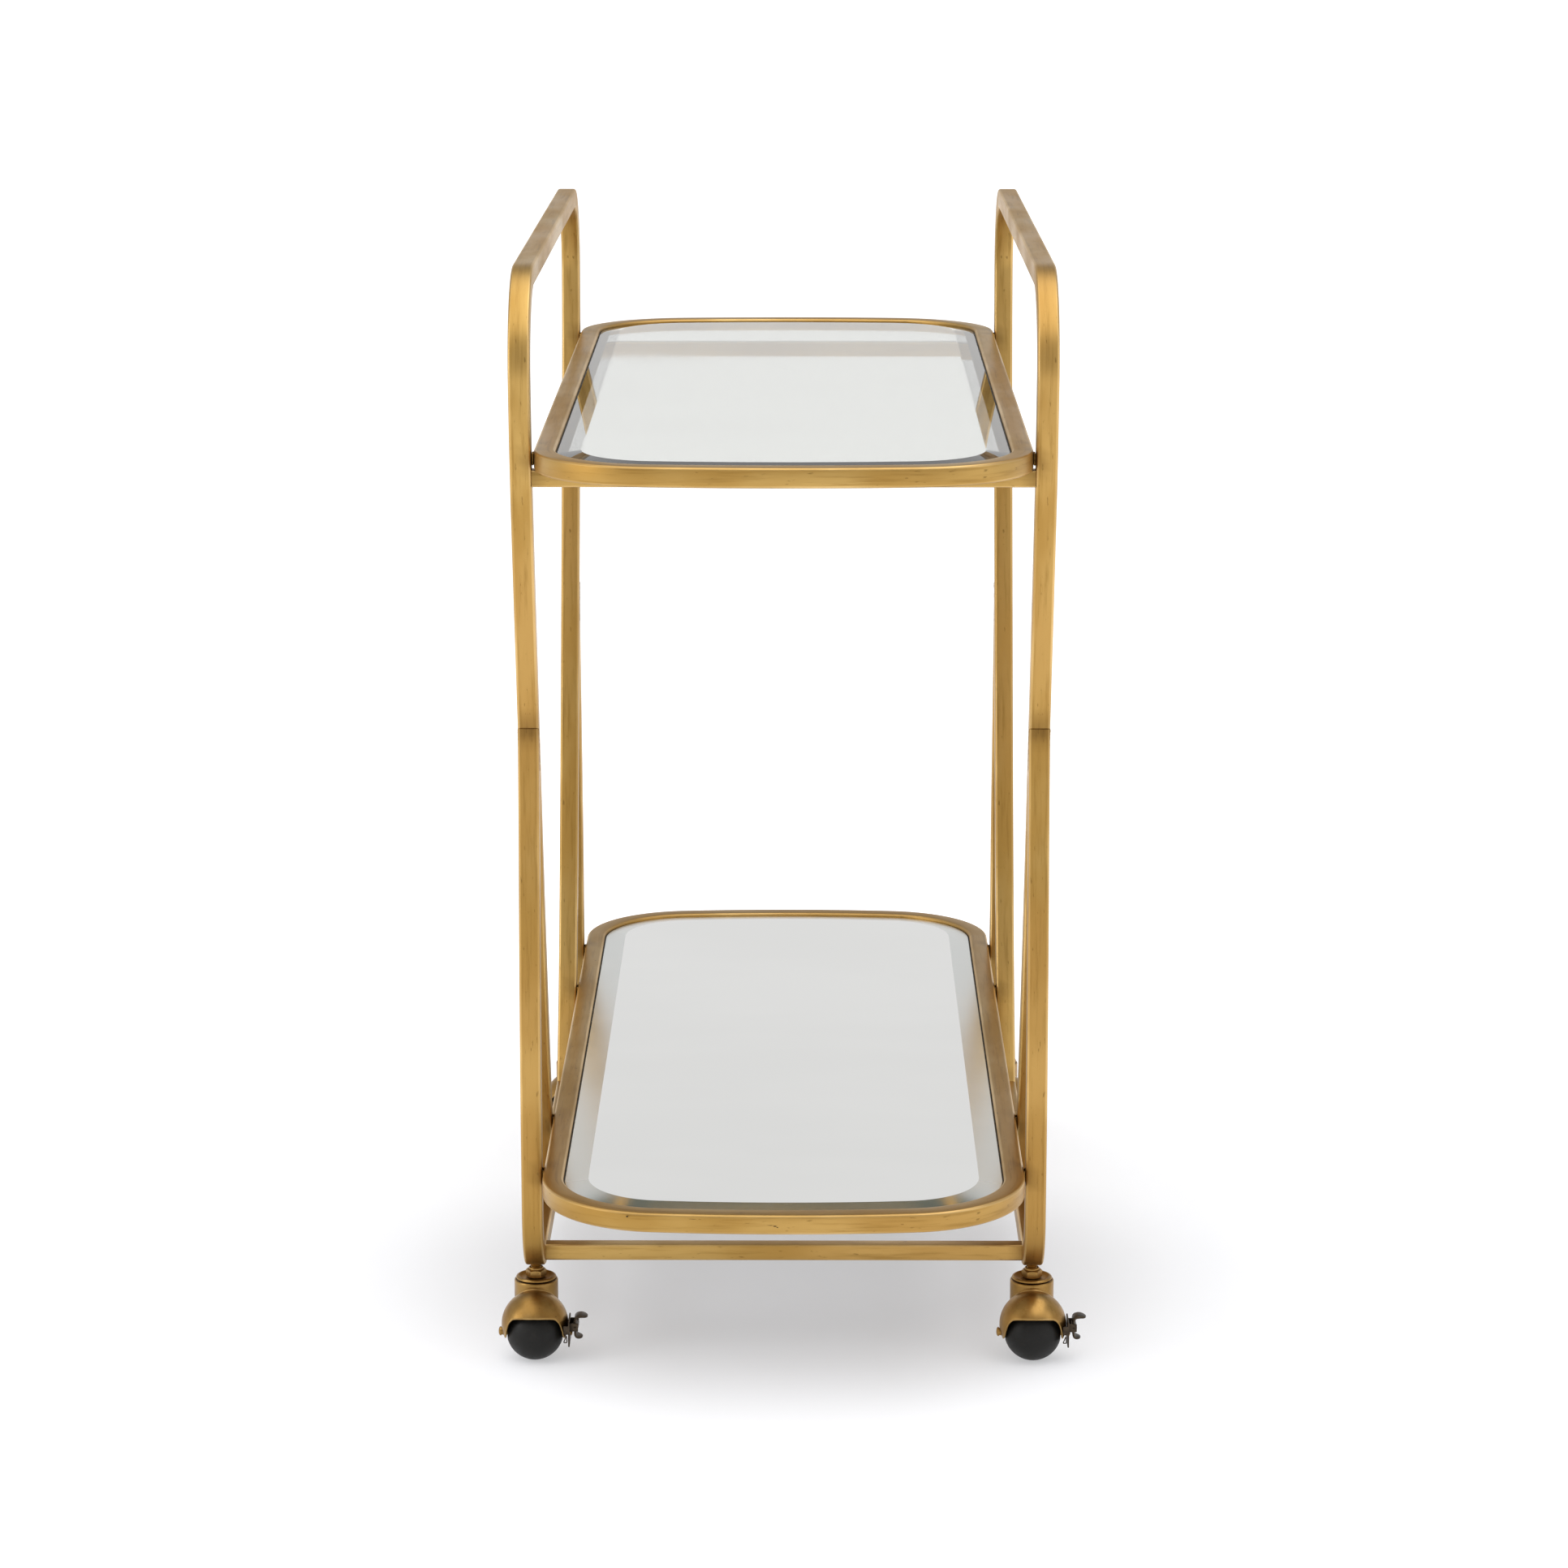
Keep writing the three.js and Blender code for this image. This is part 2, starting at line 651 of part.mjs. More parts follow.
for (const [end, endSign] of [["front", -1], ["rear", 1]]) {
  for (const [side, sideSign] of [["left", -1], ["right", 1]]) {
    const caster = new THREE.Group();
    caster.position.set(sideSign * FRAME_X, endSign * CASTER_Y, 0);
    cart.add(caster);
    const name = `${end}_${side}`;
    const braked = end === "front";
    addPiece(caster, `${name}_stem`, stemGeometry, brass);
    addPiece(caster, `${name}_nut`, nut, brass);
    addPiece(caster, `${name}_cap`, capGeometry, brass);
    addPiece(caster, `${name}_hood`, hood, brass);
    addPiece(caster, `${name}_axle`, braked ? brakedAxle : plainAxle, brass);
    addPiece(caster, `${name}_ball`, ball, rubber);
    if (braked) {
      addPiece(caster, `${name}_brake_plate`, bracketGeometry(), bronze);
      addPiece(caster, `${name}_brake_lever`, leverGeometry(), bronze);
      const pin = cylinderAlongY(PIN_RADIUS, 2 * PLATE_HALF, PIN_X, PIN_Z);
      addPiece(caster, `${name}_brake_pin`, pin, bronze);
      addPiece(caster, `${name}_brake_spring`, springGeometry(), bronze);
    }
  }
}

export default cart;
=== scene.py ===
"""A two-tier bar cart: antique brass tube frames, a glass tray, a mirror tray and hooded ball casters.

Metres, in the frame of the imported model: X across the cart, Y along it with the front at -Y, Z up.
"""
import math
import random

import bpy
from mathutils import Euler, Matrix, Vector, noise


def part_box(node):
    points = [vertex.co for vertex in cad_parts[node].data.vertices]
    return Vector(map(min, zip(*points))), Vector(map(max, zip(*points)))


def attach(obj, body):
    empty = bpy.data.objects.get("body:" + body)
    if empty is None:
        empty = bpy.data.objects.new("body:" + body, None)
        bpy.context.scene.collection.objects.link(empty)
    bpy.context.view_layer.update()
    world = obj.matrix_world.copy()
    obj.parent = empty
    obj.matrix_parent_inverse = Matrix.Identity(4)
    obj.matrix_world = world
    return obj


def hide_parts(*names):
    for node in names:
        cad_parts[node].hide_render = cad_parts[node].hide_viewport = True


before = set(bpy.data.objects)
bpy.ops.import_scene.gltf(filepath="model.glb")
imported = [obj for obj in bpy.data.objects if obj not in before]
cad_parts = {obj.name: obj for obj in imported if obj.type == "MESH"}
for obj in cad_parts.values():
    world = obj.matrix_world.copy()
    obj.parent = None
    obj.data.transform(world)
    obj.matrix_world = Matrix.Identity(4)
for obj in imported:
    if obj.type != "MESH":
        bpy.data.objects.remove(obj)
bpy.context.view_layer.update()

MM = 0.001

# ---------------------------------------------------------------- camera
CAMERA_PLACE = (0.0142, -3.699, 1.2006)
CAMERA_PITCH = 12.43  # degrees below the horizon
CAMERA_YAW = 0.24
CAMERA_LENS = 104.6  # on a 36 mm sensor


def add_camera():
    data = bpy.data.cameras.new("camera")
    data.lens = CAMERA_LENS
    data.sensor_width = 36
    data.clip_end = 60
    camera = bpy.data.objects.new("camera", data)
    camera.location = CAMERA_PLACE
    camera.rotation_euler = Euler((math.radians(90 - CAMERA_PITCH), 0, math.radians(CAMERA_YAW)))
    bpy.context.scene.collection.objects.link(camera)
    bpy.context.scene.camera = camera


add_camera()

# ---------------------------------------------------------------- sizes
TUBE = 16 * MM
TUBE_EDGE = 2.1 * MM
WELDED_IN = 0.03 * MM  # how much slimmer a tube is where it runs into another
HANDLE_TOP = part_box("left_upper_loop")[1].z
RAIL_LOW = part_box("left_base_loop")[0].z
FRAME_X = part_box("right_upper_loop")[1].x - TUBE / 2
RAIL_Z = RAIL_LOW + TUBE / 2
HANDLE_RADIUS = 67 * MM
BASE_RADIUS = 47 * MM
POST_POINTS = [(156, 70), (184, 122), (212, 180), (256, 300), (294, 420), (326, 530), (355, 630), (375, 712)]
HANDLE_BEND_Z = HANDLE_TOP - TUBE / 2 - HANDLE_RADIUS
HANDLE_REACH = 382 * MM
LEG_POINTS = [(318.4, 499), (325, 421), (333, 355), (340, 284), (343.5, 205)]
LEG_REACH = 343.5 * MM

TRAY_LOW, TRAY_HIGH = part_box("top_tray_rim")
TRAY_HALF_WIDTH = TRAY_HIGH.x
TRAY_HALF_LENGTH = TRAY_HIGH.y
RIM_HEIGHT = TRAY_HIGH.z - TRAY_LOW.z
TRAY_CORNER = 95 * MM
TRAY_BOW = 1000 * MM
PANEL_RECESS = 0.8 * MM
PANEL_THICK = 5 * MM
PANEL_REVEAL = 1 * MM
PANEL_BEVEL = 18 * MM
BEVEL_DROP = 2 * MM
LEDGE_WIDTH = 10 * MM
LEDGE_THICK = 3 * MM

CASTER_TRAIL = 22 * MM
BALL_RADIUS = 22.2 * MM
BALL_FLAT = 21.2 * MM
HOOD_RISE = 6.2 * MM  # hood's centre above the ball's
HOOD_OUTER = 26 * MM
HOOD_INNER = 24.5 * MM
NECK_RADIUS = 17 * MM
NECK_BOTTOM = 36.5 * MM
NECK_TOP = 58 * MM
# The hood's lower edge: turn from the front and elevation seen from the hood's centre, in degrees.
HOOD_EDGE = [
    (0, 26.2), (20, 25.2), (35, 23), (43, 20.6), (48, 16), (52, 10.5), (55, 3.5), (58, -3), (61, -9),
    (66, -16.2), (77, -22.6), (90, -25), (104, -21), (118, -12.2), (141, -10), (180, -8.8),
]
STEM_RADIUS = 4.25 * MM

random.seed(11)


# ---------------------------------------------------------------- materials
class Nodes:
    """Short calls for building the node tree of a material or world."""

    def __init__(self, owner, shader):
        owner.use_nodes = True
        self.owner = owner
        self.tree = owner.node_tree
        self.shader = self.tree.nodes[shader]

    def add(self, kind, **values):
        node = self.tree.nodes.new(kind)
        for key, value in values.items():
            setattr(node, key, value)
        return node

    def link(self, source, target):
        self.tree.links.new(source, target)

    def set(self, **values):
        for key, value in values.items():
            self.shader.inputs[key.replace("_", " ")].default_value = value

    def place(self, scale=(1, 1, 1), attribute=None):
        """Coordinates in metres from the mesh or a stored vector, each axis times its scale."""
        if attribute:
            source = self.add("ShaderNodeAttribute", attribute_name=attribute).outputs["Vector"]
        else:
            source = self.add("ShaderNodeTexCoord").outputs["Object"]
        mapping = self.add("ShaderNodeMapping")
        mapping.inputs["Scale"].default_value = scale
        self.link(source, mapping.inputs["Vector"])
        return mapping.outputs["Vector"]

    def noise(self, place, scale, detail=4.0, roughness=0.55):
        node = self.add("ShaderNodeTexNoise")
        node.inputs["Scale"].default_value = scale
        node.inputs["Detail"].default_value = detail
        node.inputs["Roughness"].default_value = roughness
        self.link(place, node.inputs["Vector"])
        return node.outputs["Fac"]

    def spread(self, value, low, high, to_low=0.0, to_high=1.0):
        node = self.add("ShaderNodeMapRange")
        node.interpolation_type = "SMOOTHSTEP"
        node.inputs["From Min"].default_value = low
        node.inputs["From Max"].default_value = high
        node.inputs["To Min"].default_value = to_low
        node.inputs["To Max"].default_value = to_high
        self.link(value, node.inputs["Value"])
        return node.outputs["Result"]

    def math(self, operation, a, b):
        node = self.add("ShaderNodeMath", operation=operation)
        for socket, value in zip(node.inputs, (a, b)):
            if isinstance(value, float):
                socket.default_value = value
            else:
                self.link(value, socket)
        return node.outputs["Value"]

    def mix(self, factor, a, b):
        node = self.add("ShaderNodeMix", data_type="RGBA")
        sockets = (node.inputs[0], node.inputs[6], node.inputs[7])
        for socket, value in zip(sockets, (factor, a, b)):
            if isinstance(value, (float, tuple)):
                socket.default_value = value
            else:
                self.link(value, socket)
        return node.outputs[2]

    def bump(self, height, strength, distance):
        node = self.add("ShaderNodeBump")
        node.inputs["Strength"].default_value = strength
        node.inputs["Distance"].default_value = distance
        self.link(height, node.inputs["Height"])
        self.link(node.outputs["Normal"], self.shader.inputs["Normal"])

    def output(self, socket, name):
        self.link(socket, self.shader.inputs[name])


def material_nodes(name):
    return Nodes(bpy.data.materials.new(name), "Principled BSDF")


def colour(red, green, blue):
    """A linear colour from 0 to 255 display values."""
    linear = [((c / 255 + 0.055) / 1.055) ** 2.4 if c > 10 else c / 255 / 12.92 for c in (red, green, blue)]
    return (*linear, 1.0)


def antique_brass(name, along_tube, bright, dull, smooth):
    """Hand-rubbed brass: a warm base with mottled brown patina, fine rubbing streaks and a few dark pits,
    with a painted highlight in pale tan along its rounded edges.
    """
    m = material_nodes(name)
    if along_tube:
        streak_place = m.place((14, 260, 260), "tube")
        blotch_place = m.place((9, 30, 30), "tube")
        pit_place = m.place((120, 420, 420), "tube")
    else:
        streak_place = m.place((200, 200, 60))
        blotch_place = m.place((42, 42, 42))
        pit_place = m.place((420, 420, 420))
    streaks = m.noise(streak_place, 1.0, 5.0, 0.65)
    blotches = m.noise(blotch_place, 1.0, 3.0, 0.5)
    pits = m.noise(pit_place, 1.0, 2.0, 0.5)
    broad = m.noise(m.place((3.5, 3.5, 3.5)), 1.0, 2.0, 0.5)
    base = m.mix(m.spread(blotches, 0.36, 0.66), bright, dull)
    base = m.mix(m.spread(broad, 0.4, 0.62, 0.0, 0.55), base, colour(174, 134, 74))
    base = m.mix(m.spread(streaks, 0.48, 0.7, 0.0, 0.5), base, colour(132, 99, 46))
    base = m.mix(m.spread(pits, 0.67, 0.77, 0.0, 0.45), base, colour(78, 56, 28))
    weld = m.add("ShaderNodeAttribute", attribute_name="weld").outputs["Fac"]
    ragged = m.math("MULTIPLY", weld, m.spread(streaks, 0.25, 0.7, 1.0, 0.55))
    base = m.mix(m.math("MULTIPLY", ragged, 0.85), base, colour(98, 70, 34))
    # Painted highlight: where the edge value is high (rounded tube corners, the hood's rolled edge, the neck
    # lip) the colour is mixed towards pale tan, as if catching light.
    edge = m.add("ShaderNodeAttribute", attribute_name="edge").outputs["Fac"]
    edge_highlight = m.math("MULTIPLY", edge, m.spread(blotches, 0.3, 0.6, 0.75, 0.25))
    base = m.mix(edge_highlight, base, colour(218, 184, 126))
    m.output(base, "Base Color")
    m.output(m.spread(blotches, 0.3, 0.7, smooth, smooth + 0.12), "Roughness")
    m.set(Metallic=1.0)
    m.bump(m.math("ADD", streaks, m.math("MULTIPLY", pits, 0.6)), 0.1, 0.0006)
    return m.owner


def clear_glass():
    m = material_nodes("clear_glass")
    m.set(Base_Color=colour(221, 223, 218), Roughness=0.0, IOR=1.5, Transmission_Weight=1.0)
    smear = m.noise(m.place((3, 5, 3)), 1.0, 3.0, 0.5)
    m.output(m.spread(smear, 0.35, 0.75, 0.0, 0.035), "Roughness")
    return m.owner


def silvered_mirror():
    m = material_nodes("silvered_mirror")
    m.set(Metallic=1.0)
    haze = m.noise(m.place((4, 7, 4)), 1.0, 3.0, 0.5)
    m.output(m.mix(m.spread(haze, 0.35, 0.7), colour(245, 245, 243), colour(248, 248, 246)), "Base Color")
    m.output(m.spread(haze, 0.35, 0.75, 0.015, 0.05), "Roughness")
    return m.owner


def ground_mirror():
    """The mirror's bevelled border: its ground face is hazy, and polished clearer along the front."""
    m = material_nodes("ground_mirror")
    m.set(Metallic=1.0)
    haze = m.noise(m.place((9, 9, 9)), 1.0, 3.0, 0.5)
    m.output(m.mix(m.spread(haze, 0.35, 0.7), colour(238, 240, 238), colour(244, 245, 243)), "Base Color")
    split = m.add("ShaderNodeSeparateXYZ")
    m.link(m.place(), split.inputs["Vector"])
    from_front = m.spread(split.outputs["Y"], -0.445, -0.36, 0.09, 0.3)
    m.output(m.math("ADD", from_front, m.spread(haze, 0.35, 0.75, 0.0, 0.03)), "Roughness")
    return m.owner


def bare_steel():
    """Where the brass finish is chipped through to dark metal."""
    m = material_nodes("bare_steel")
    grime = m.noise(m.place((900, 900, 900)), 1.0, 3.0, 0.6)
    m.output(m.mix(m.spread(grime, 0.4, 0.65), colour(34, 24, 13), colour(74, 52, 26)), "Base Color")
    m.output(m.spread(grime, 0.3, 0.7, 0.5, 0.75), "Roughness")
    m.set(Metallic=0.6)
    return m.owner


def ball_rubber():
    m = material_nodes("ball_rubber")
    place = m.place((1, 1, 1))
    fine = m.noise(place, 900.0, 3.0, 0.6)
    scuffs = m.noise(place, 90.0, 4.0, 0.65)
    m.output(m.mix(m.spread(scuffs, 0.45, 0.75), colour(20, 19, 17), colour(31, 29, 26)), "Base Color")
    m.output(m.spread(scuffs, 0.35, 0.7, 0.42, 0.6), "Roughness")
    m.set(Specular_IOR_Level=0.25)
    m.bump(fine, 0.12, 0.0003)
    return m.owner


def dark_bronze():
    m = material_nodes("dark_bronze")
    place = m.place((1, 1, 1))
    patina = m.noise(place, 150.0, 4.0, 0.6)
    fine = m.noise(place, 800.0, 3.0, 0.6)
    m.output(m.mix(m.spread(patina, 0.35, 0.68), colour(58, 49, 40), colour(80, 68, 54)), "Base Color")
    m.output(m.spread(patina, 0.3, 0.7, 0.34, 0.52), "Roughness")
    m.set(Metallic=0.85)
    m.bump(fine, 0.15, 0.0003)
    return m.owner


TUBE_BRASS = antique_brass("tube_brass", True, colour(180, 147, 86), colour(164, 128, 66), 0.34)
CAST_BRASS = antique_brass("cast_brass", False, colour(158, 126, 74), colour(136, 104, 55), 0.3)
GLASS = clear_glass()
MIRROR = silvered_mirror()
MIRROR_BORDER = ground_mirror()
CHIP = bare_steel()
RUBBER = ball_rubber()
BRONZE = dark_bronze()


# ---------------------------------------------------------------- mesh tools
def make_object(name, points, faces, material, sharp_angle=35.0):
    mesh = bpy.data.meshes.new(name)
    mesh.from_pydata([tuple(p) for p in points], [], faces)
    mesh.validate()
    mesh.polygons.foreach_set("use_smooth", [True] * len(mesh.polygons))
    mesh.set_sharp_from_angle(angle=math.radians(sharp_angle))
    mesh.materials.append(material)
    obj = bpy.data.objects.new(name, mesh)
    bpy.context.scene.collection.objects.link(obj)
    return obj


def store(obj, name, values):
    """One number for each vertex, under a name that a material can read."""
    attribute = obj.data.attributes.new(name, "FLOAT", "POINT")
    attribute.data.foreach_set("value", values)


def store_corner_vectors(obj, name, vectors):
    attribute = obj.data.attributes.new(name, "FLOAT_VECTOR", "CORNER")
    attribute.data.foreach_set("vector", [value for vector in vectors for value in vector])


def settle(obj, body, nodes):
    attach(obj, body)
    if nodes:
        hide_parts(*nodes)
    return obj


def arc(centre, radius, start, end, steps):
    points = []
    for i in range(steps + 1):
        angle = start + (end - start) * i / steps
        points.append((centre[0] + radius * math.cos(angle), centre[1] + radius * math.sin(angle)))
    return points


def catmull_rom(points, steps):
    """A uniform Catmull-Rom line through the points, with the end points held."""
    line = []
    for i in range(len(points) - 1):
        four = [Vector(points[max(0, min(len(points) - 1, j))]) for j in (i - 1, i, i + 1, i + 2)]
        for k in range(steps):
            t = k / steps
            tangents = ((four[2] - four[0]) / 2, (four[3] - four[1]) / 2)
            line.append(
                (2 * t**3 - 3 * t**2 + 1) * four[1]
                + (t**3 - 2 * t**2 + t) * tangents[0]
                + (3 * t**2 - 2 * t**3) * four[2]
                + (t**3 - t**2) * tangents[1]
            )
    return [tuple(p) for p in line] + [tuple(points[-1])]


def fill_in(line, step):
    """The line with its long stretches cut to at most one step."""
    full = [Vector(line[0])]
    for point in line[1:]:
        gap = Vector(point) - full[-1]
        count = max(1, math.ceil(gap.length / step))
        start = full[-1]
        full.extend(start + gap * (i / count) for i in range(1, count + 1))
    return full


def ring_quads(rings, sides, start=0, closed=False, turned_over=False):
    """Faces between rings of points that follow each other in a mesh's list of points."""
    faces = []
    for i in range(rings if closed else rings - 1):
        here = start + i * sides
        there = start + (i + 1) % rings * sides
        for j in range(sides):
            k = (j + 1) % sides
            if turned_over:
                faces.append((here + j, there + j, there + k, here + k))
            else:
                faces.append((here + j, here + k, there + k, there + j))
    return faces


def rounded_section(width, height, radius, steps=4):
    """A rounded rectangle as (u, v, edge) points, anticlockwise, where edge is 1 on its round corners; the
    brass material paints a highlight where edge is high.
    """
    section = []
    corners = [(1, -1, -math.pi / 2), (1, 1, 0), (-1, 1, math.pi / 2), (-1, -1, math.pi)]
    for sign_u, sign_v, start in corners:
        centre = (sign_u * (width / 2 - radius), sign_v * (height / 2 - radius))
        for i, (u, v) in enumerate(arc(centre, radius, start, start + math.pi / 2, steps)):
            section.append((u, v, 0.0 if i in (0, steps) else 1.0))
    return section


def sweep(name, line, axis, section, material, closed=False):
    """A section carried along a flat line. u points along the line's outward normal and v along axis.

    The line runs so that its direction crossed with axis points outwards.
    """
    axis = Vector(axis)
    count = len(line)
    points = []
    edges = []
    lengths = [0.0]
    for i in range(1, count + 1):
        lengths.append(lengths[-1] + (line[i % count] - line[i - 1]).length)
    for i, point in enumerate(line):
        before = line[i - 1] if closed or i > 0 else point
        after = line[(i + 1) % count] if closed or i < count - 1 else point
        tangent_in = (point - before).normalized() if point != before else (after - point).normalized()
        tangent_out = (after - point).normalized() if after != point else tangent_in
        tangent = (tangent_in + tangent_out).normalized()
        outward = tangent.cross(axis).normalized()
        stretch = 1 / max(0.5, tangent.dot(tangent_in))
        for u, v, edge in section:
            points.append(point + outward * (u * stretch) + axis * v)
            edges.append(edge)
    sides = len(section)
    faces = ring_quads(count, sides, closed=closed, turned_over=True)
    corners = []
    for start, end in zip(lengths, lengths[1:] if closed else lengths[1:-1]):
        for j in range(sides):
            k = (j + 1) % sides
            for place, corner in ((start, j), (end, j), (end, k), (start, k)):
                corners.append((place, section[corner][0], section[corner][1]))
    if not closed:
        last = (count - 1) * sides
        faces.append(tuple(range(sides)))
        faces.append(tuple(last + j for j in reversed(range(sides))))
        corners.extend((lengths[0], s[0], s[1]) for s in section)
        corners.extend((lengths[count - 1], s[0], s[1]) for s in reversed(section))
    obj = make_object(name, points, faces, material)
    store(obj, "edge", edges)
    if len(obj.data.loops) == len(corners):
        store_corner_vectors(obj, "tube", corners)
    return obj


def round_wire(name, line, radius_at, material, sides=10, closed=False):
    """A round bead or wire along any line; radius_at gives its radius for each point's number."""
    count = len(line)
    points = []
    side = None
    for i, point in enumerate(line):
        before = line[i - 1] if closed or i > 0 else point
        after = line[(i + 1) % count] if closed or i < count - 1 else point
        tangent = (after - before).normalized()
        if side is None:
            side = tangent.orthogonal().normalized()
        side = (side - tangent * side.dot(tangent)).normalized()
        up = tangent.cross(side)
        for j in range(sides):
            angle = 2 * math.pi * j / sides
            points.append(point + (side * math.cos(angle) + up * math.sin(angle)) * radius_at(i))
    faces = ring_quads(count, sides, closed=closed)
    if not closed:
        last = (count - 1) * sides
        faces.append(tuple(reversed(range(sides))))
        faces.append(tuple(last + j for j in range(sides)))
    return make_object(name, points, faces, material, 60.0)


def turned(name, profile, material, segments=48, sharp_angle=35.0, matrix=Matrix()):
    """A piece turned about Z from (radius, height) pairs; a radius of 0 closes it on the axis."""
    points = []
    rings = []
    for radius, height in profile:
        if radius == 0:
            rings.append([len(points)])
            points.append(matrix @ Vector((0, 0, height)))
            continue
        rings.append(list(range(len(points), len(points) + segments)))
        for j in range(segments):
            angle = 2 * math.pi * j / segments
            points.append(matrix @ Vector((radius * math.cos(angle), radius * math.sin(angle), height)))
    faces = []
    closed = profile[0][0] != 0
    pairs = list(zip(rings, rings[1:])) + ([(rings[-1], rings[0])] if closed else [])
    for low, high in pairs:
        for j in range(segments):
            k = (j + 1) % segments
            if len(low) == 1:
                faces.append((low[0], high[k], high[j]))
            elif len(high) == 1:
                faces.append((low[j], low[k], high[0]))
            else:
                faces.append((low[j], low[k], high[k], high[j]))
    return make_object(name, points, faces, material, sharp_angle)


def join(name, objects):
    """Several new meshes become one object, keeping their stored values."""
    target = objects[0]
    with bpy.context.temp_override(active_object=target, selected_editable_objects=objects, object=target):
        bpy.ops.object.join()
    target.name = name
    target.data.name = name
    return target


def smooth_step(value, low, high):
    t = max(0.0, min(1.0, (value - low) / (high - low)))
    return t * t * (3 - 2 * t)


def mark_welds(obj, places, reach):
    """Darkens a tube round each welded place."""
    values = []
    for vertex in obj.data.vertices:
        nearest = min((vertex.co - place).length for place in places)
        values.append(1 - smooth_step(nearest, 0.3 * reach, reach))
    store(obj, "weld", values)


# ---------------------------------------------------------------- side frames
def metres(points):
    return [(a * MM, b * MM) for a, b in points]


post_line = catmull_rom(metres(POST_POINTS) + [(HANDLE_REACH, HANDLE_BEND_Z)], 10)
leg_line = catmull_rom(metres(LEG_POINTS) + [(LEG_REACH, RAIL_Z + BASE_RADIUS)], 10)


def reach_at(line, height):
    """Distance from the middle at which a half line passes a height."""
    for (e0, z0), (e1, z1) in zip(line, line[1:]):
        if (z0 - height) * (z1 - height) <= 0:
            return e0 + (e1 - e0) * (height - z0) / (z1 - z0)
    return line[-1][0]


def whole_line(half, x):
    """A half line and its mirror image, as points of the side frame at x, running from front to rear."""
    front = [Vector((x, -e, z)) for e, z in half]
    rear = [Vector((x, e, z)) for e, z in reversed(half)]
    return front + rear


def upper_loop_line(x):
    start = RAIL_Z + 3 * MM
    bend = arc((HANDLE_REACH - HANDLE_RADIUS, HANDLE_BEND_Z), HANDLE_RADIUS, 0, math.pi / 2, 18)[1:]
    posts = [(e, z) for e, z in post_line if z > start]
    half = [(reach_at(post_line, start), start)] + posts + bend
    return fill_in(whole_line(half, x), 12 * MM)


def base_loop_line(x):
    bend = arc((LEG_REACH - BASE_RADIUS, RAIL_Z + BASE_RADIUS), BASE_RADIUS, 0, -math.pi / 2, 16)[1:]
    return fill_in(whole_line(leg_line + bend, x), 12 * MM)


waist_z = LEG_POINTS[0][1] * MM
waist_e = reach_at(post_line, waist_z)
top_weld_z = TRAY_HIGH.z - RIM_HEIGHT / 2
BOTTOM_TRAY_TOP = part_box("bottom_tray_rim")[1].z
bottom_weld_z = BOTTOM_TRAY_TOP - RIM_HEIGHT / 2


def frame_weld_places(x):
    inner = x - math.copysign(TUBE / 2, x)
    places = []
    for sign in (-1, 1):
        places.append(Vector((x, sign * (waist_e + TUBE / 2), waist_z)))
        places.append(Vector((x, sign * reach_at(post_line, RAIL_Z + TUBE / 2), RAIL_Z + TUBE / 2)))
        places.append(Vector((inner, sign * reach_at(post_line, top_weld_z), top_weld_z)))
        places.append(Vector((inner, sign * reach_at(post_line, bottom_weld_z), bottom_weld_z)))
        places.append(Vector((inner, sign * LEG_REACH, bottom_weld_z)))
    return places


def waist_bead(name, x, sign):
    """The weld that runs up one side of the crotch, over the front of the leg and down the other side."""
    half = TUBE / 2 - 0.3 * MM
    crotch_z = waist_z - 34 * MM
    crotch_e = reach_at(post_line, crotch_z) + TUBE / 2 + 0.3 * MM
    front_e = waist_e + TUBE / 2 - 0.2 * MM
    corners = [
        Vector((x - half, sign * crotch_e, crotch_z)),
        Vector((x - half, sign * front_e, waist_z)),
        Vector((x + half, sign * front_e, waist_z)),
        Vector((x + half, sign * crotch_e, crotch_z)),
    ]
    line = fill_in(corners, 0.9 * MM)
    sizes = [(0.55 + 0.3 * noise.noise(p * 600)) * MM for p in line]
    bead = round_wire(name, line, lambda i: sizes[i], TUBE_BRASS, 8)
    store(bead, "weld", [0.8] * len(bead.data.vertices))
    return bead


for side, x in (("left", -FRAME_X), ("right", FRAME_X)):
    welds = frame_weld_places(x)
    upper_section = rounded_section(TUBE, TUBE, TUBE_EDGE)
    upper = sweep(f"{side}_upper_tube", upper_loop_line(x), (1, 0, 0), upper_section, TUBE_BRASS)
    mark_welds(upper, welds, 16 * MM)
    settle(upper, "frame", [f"{side}_upper_loop"])
    base_section = rounded_section(TUBE, TUBE - 2 * WELDED_IN, TUBE_EDGE)
    base = sweep(f"{side}_base_tube", base_loop_line(x), (-1, 0, 0), base_section, TUBE_BRASS)
    mark_welds(base, welds, 16 * MM)
    settle(base, "frame", [f"{side}_base_loop"])
    for end, sign in (("front", -1), ("rear", 1)):
        settle(waist_bead(f"{side}_{end}_waist_weld", x, sign), "frame", [])


# ---------------------------------------------------------------- trays
def tray_outline(inset, z):
    corner_x = TRAY_HALF_WIDTH - TRAY_CORNER
    bow_y = TRAY_HALF_LENGTH - TRAY_BOW
    corner_y = bow_y + math.sqrt((TRAY_BOW - TRAY_CORNER) ** 2 - corner_x**2)
    turn = math.atan2(corner_y - bow_y, corner_x)
    quarter = arc((corner_x, corner_y), TRAY_CORNER - inset, 0, turn, 24)
    quarter += arc((0, bow_y), TRAY_BOW - inset, turn, math.pi / 2, 10)[1:-1]
    half = quarter + [(0, TRAY_HALF_LENGTH - inset)] + [(-x, y) for x, y in reversed(quarter)]
    return [Vector((x, y, z)) for x, y in half + [(-x, -y) for x, y in half]]


def even_outline(inset, z):
    """The outline with its straight sides divided, and no point repeated where it closes."""
    line = tray_outline(inset, z)
    return fill_in(line + [line[0]], 15 * MM)[:-1]


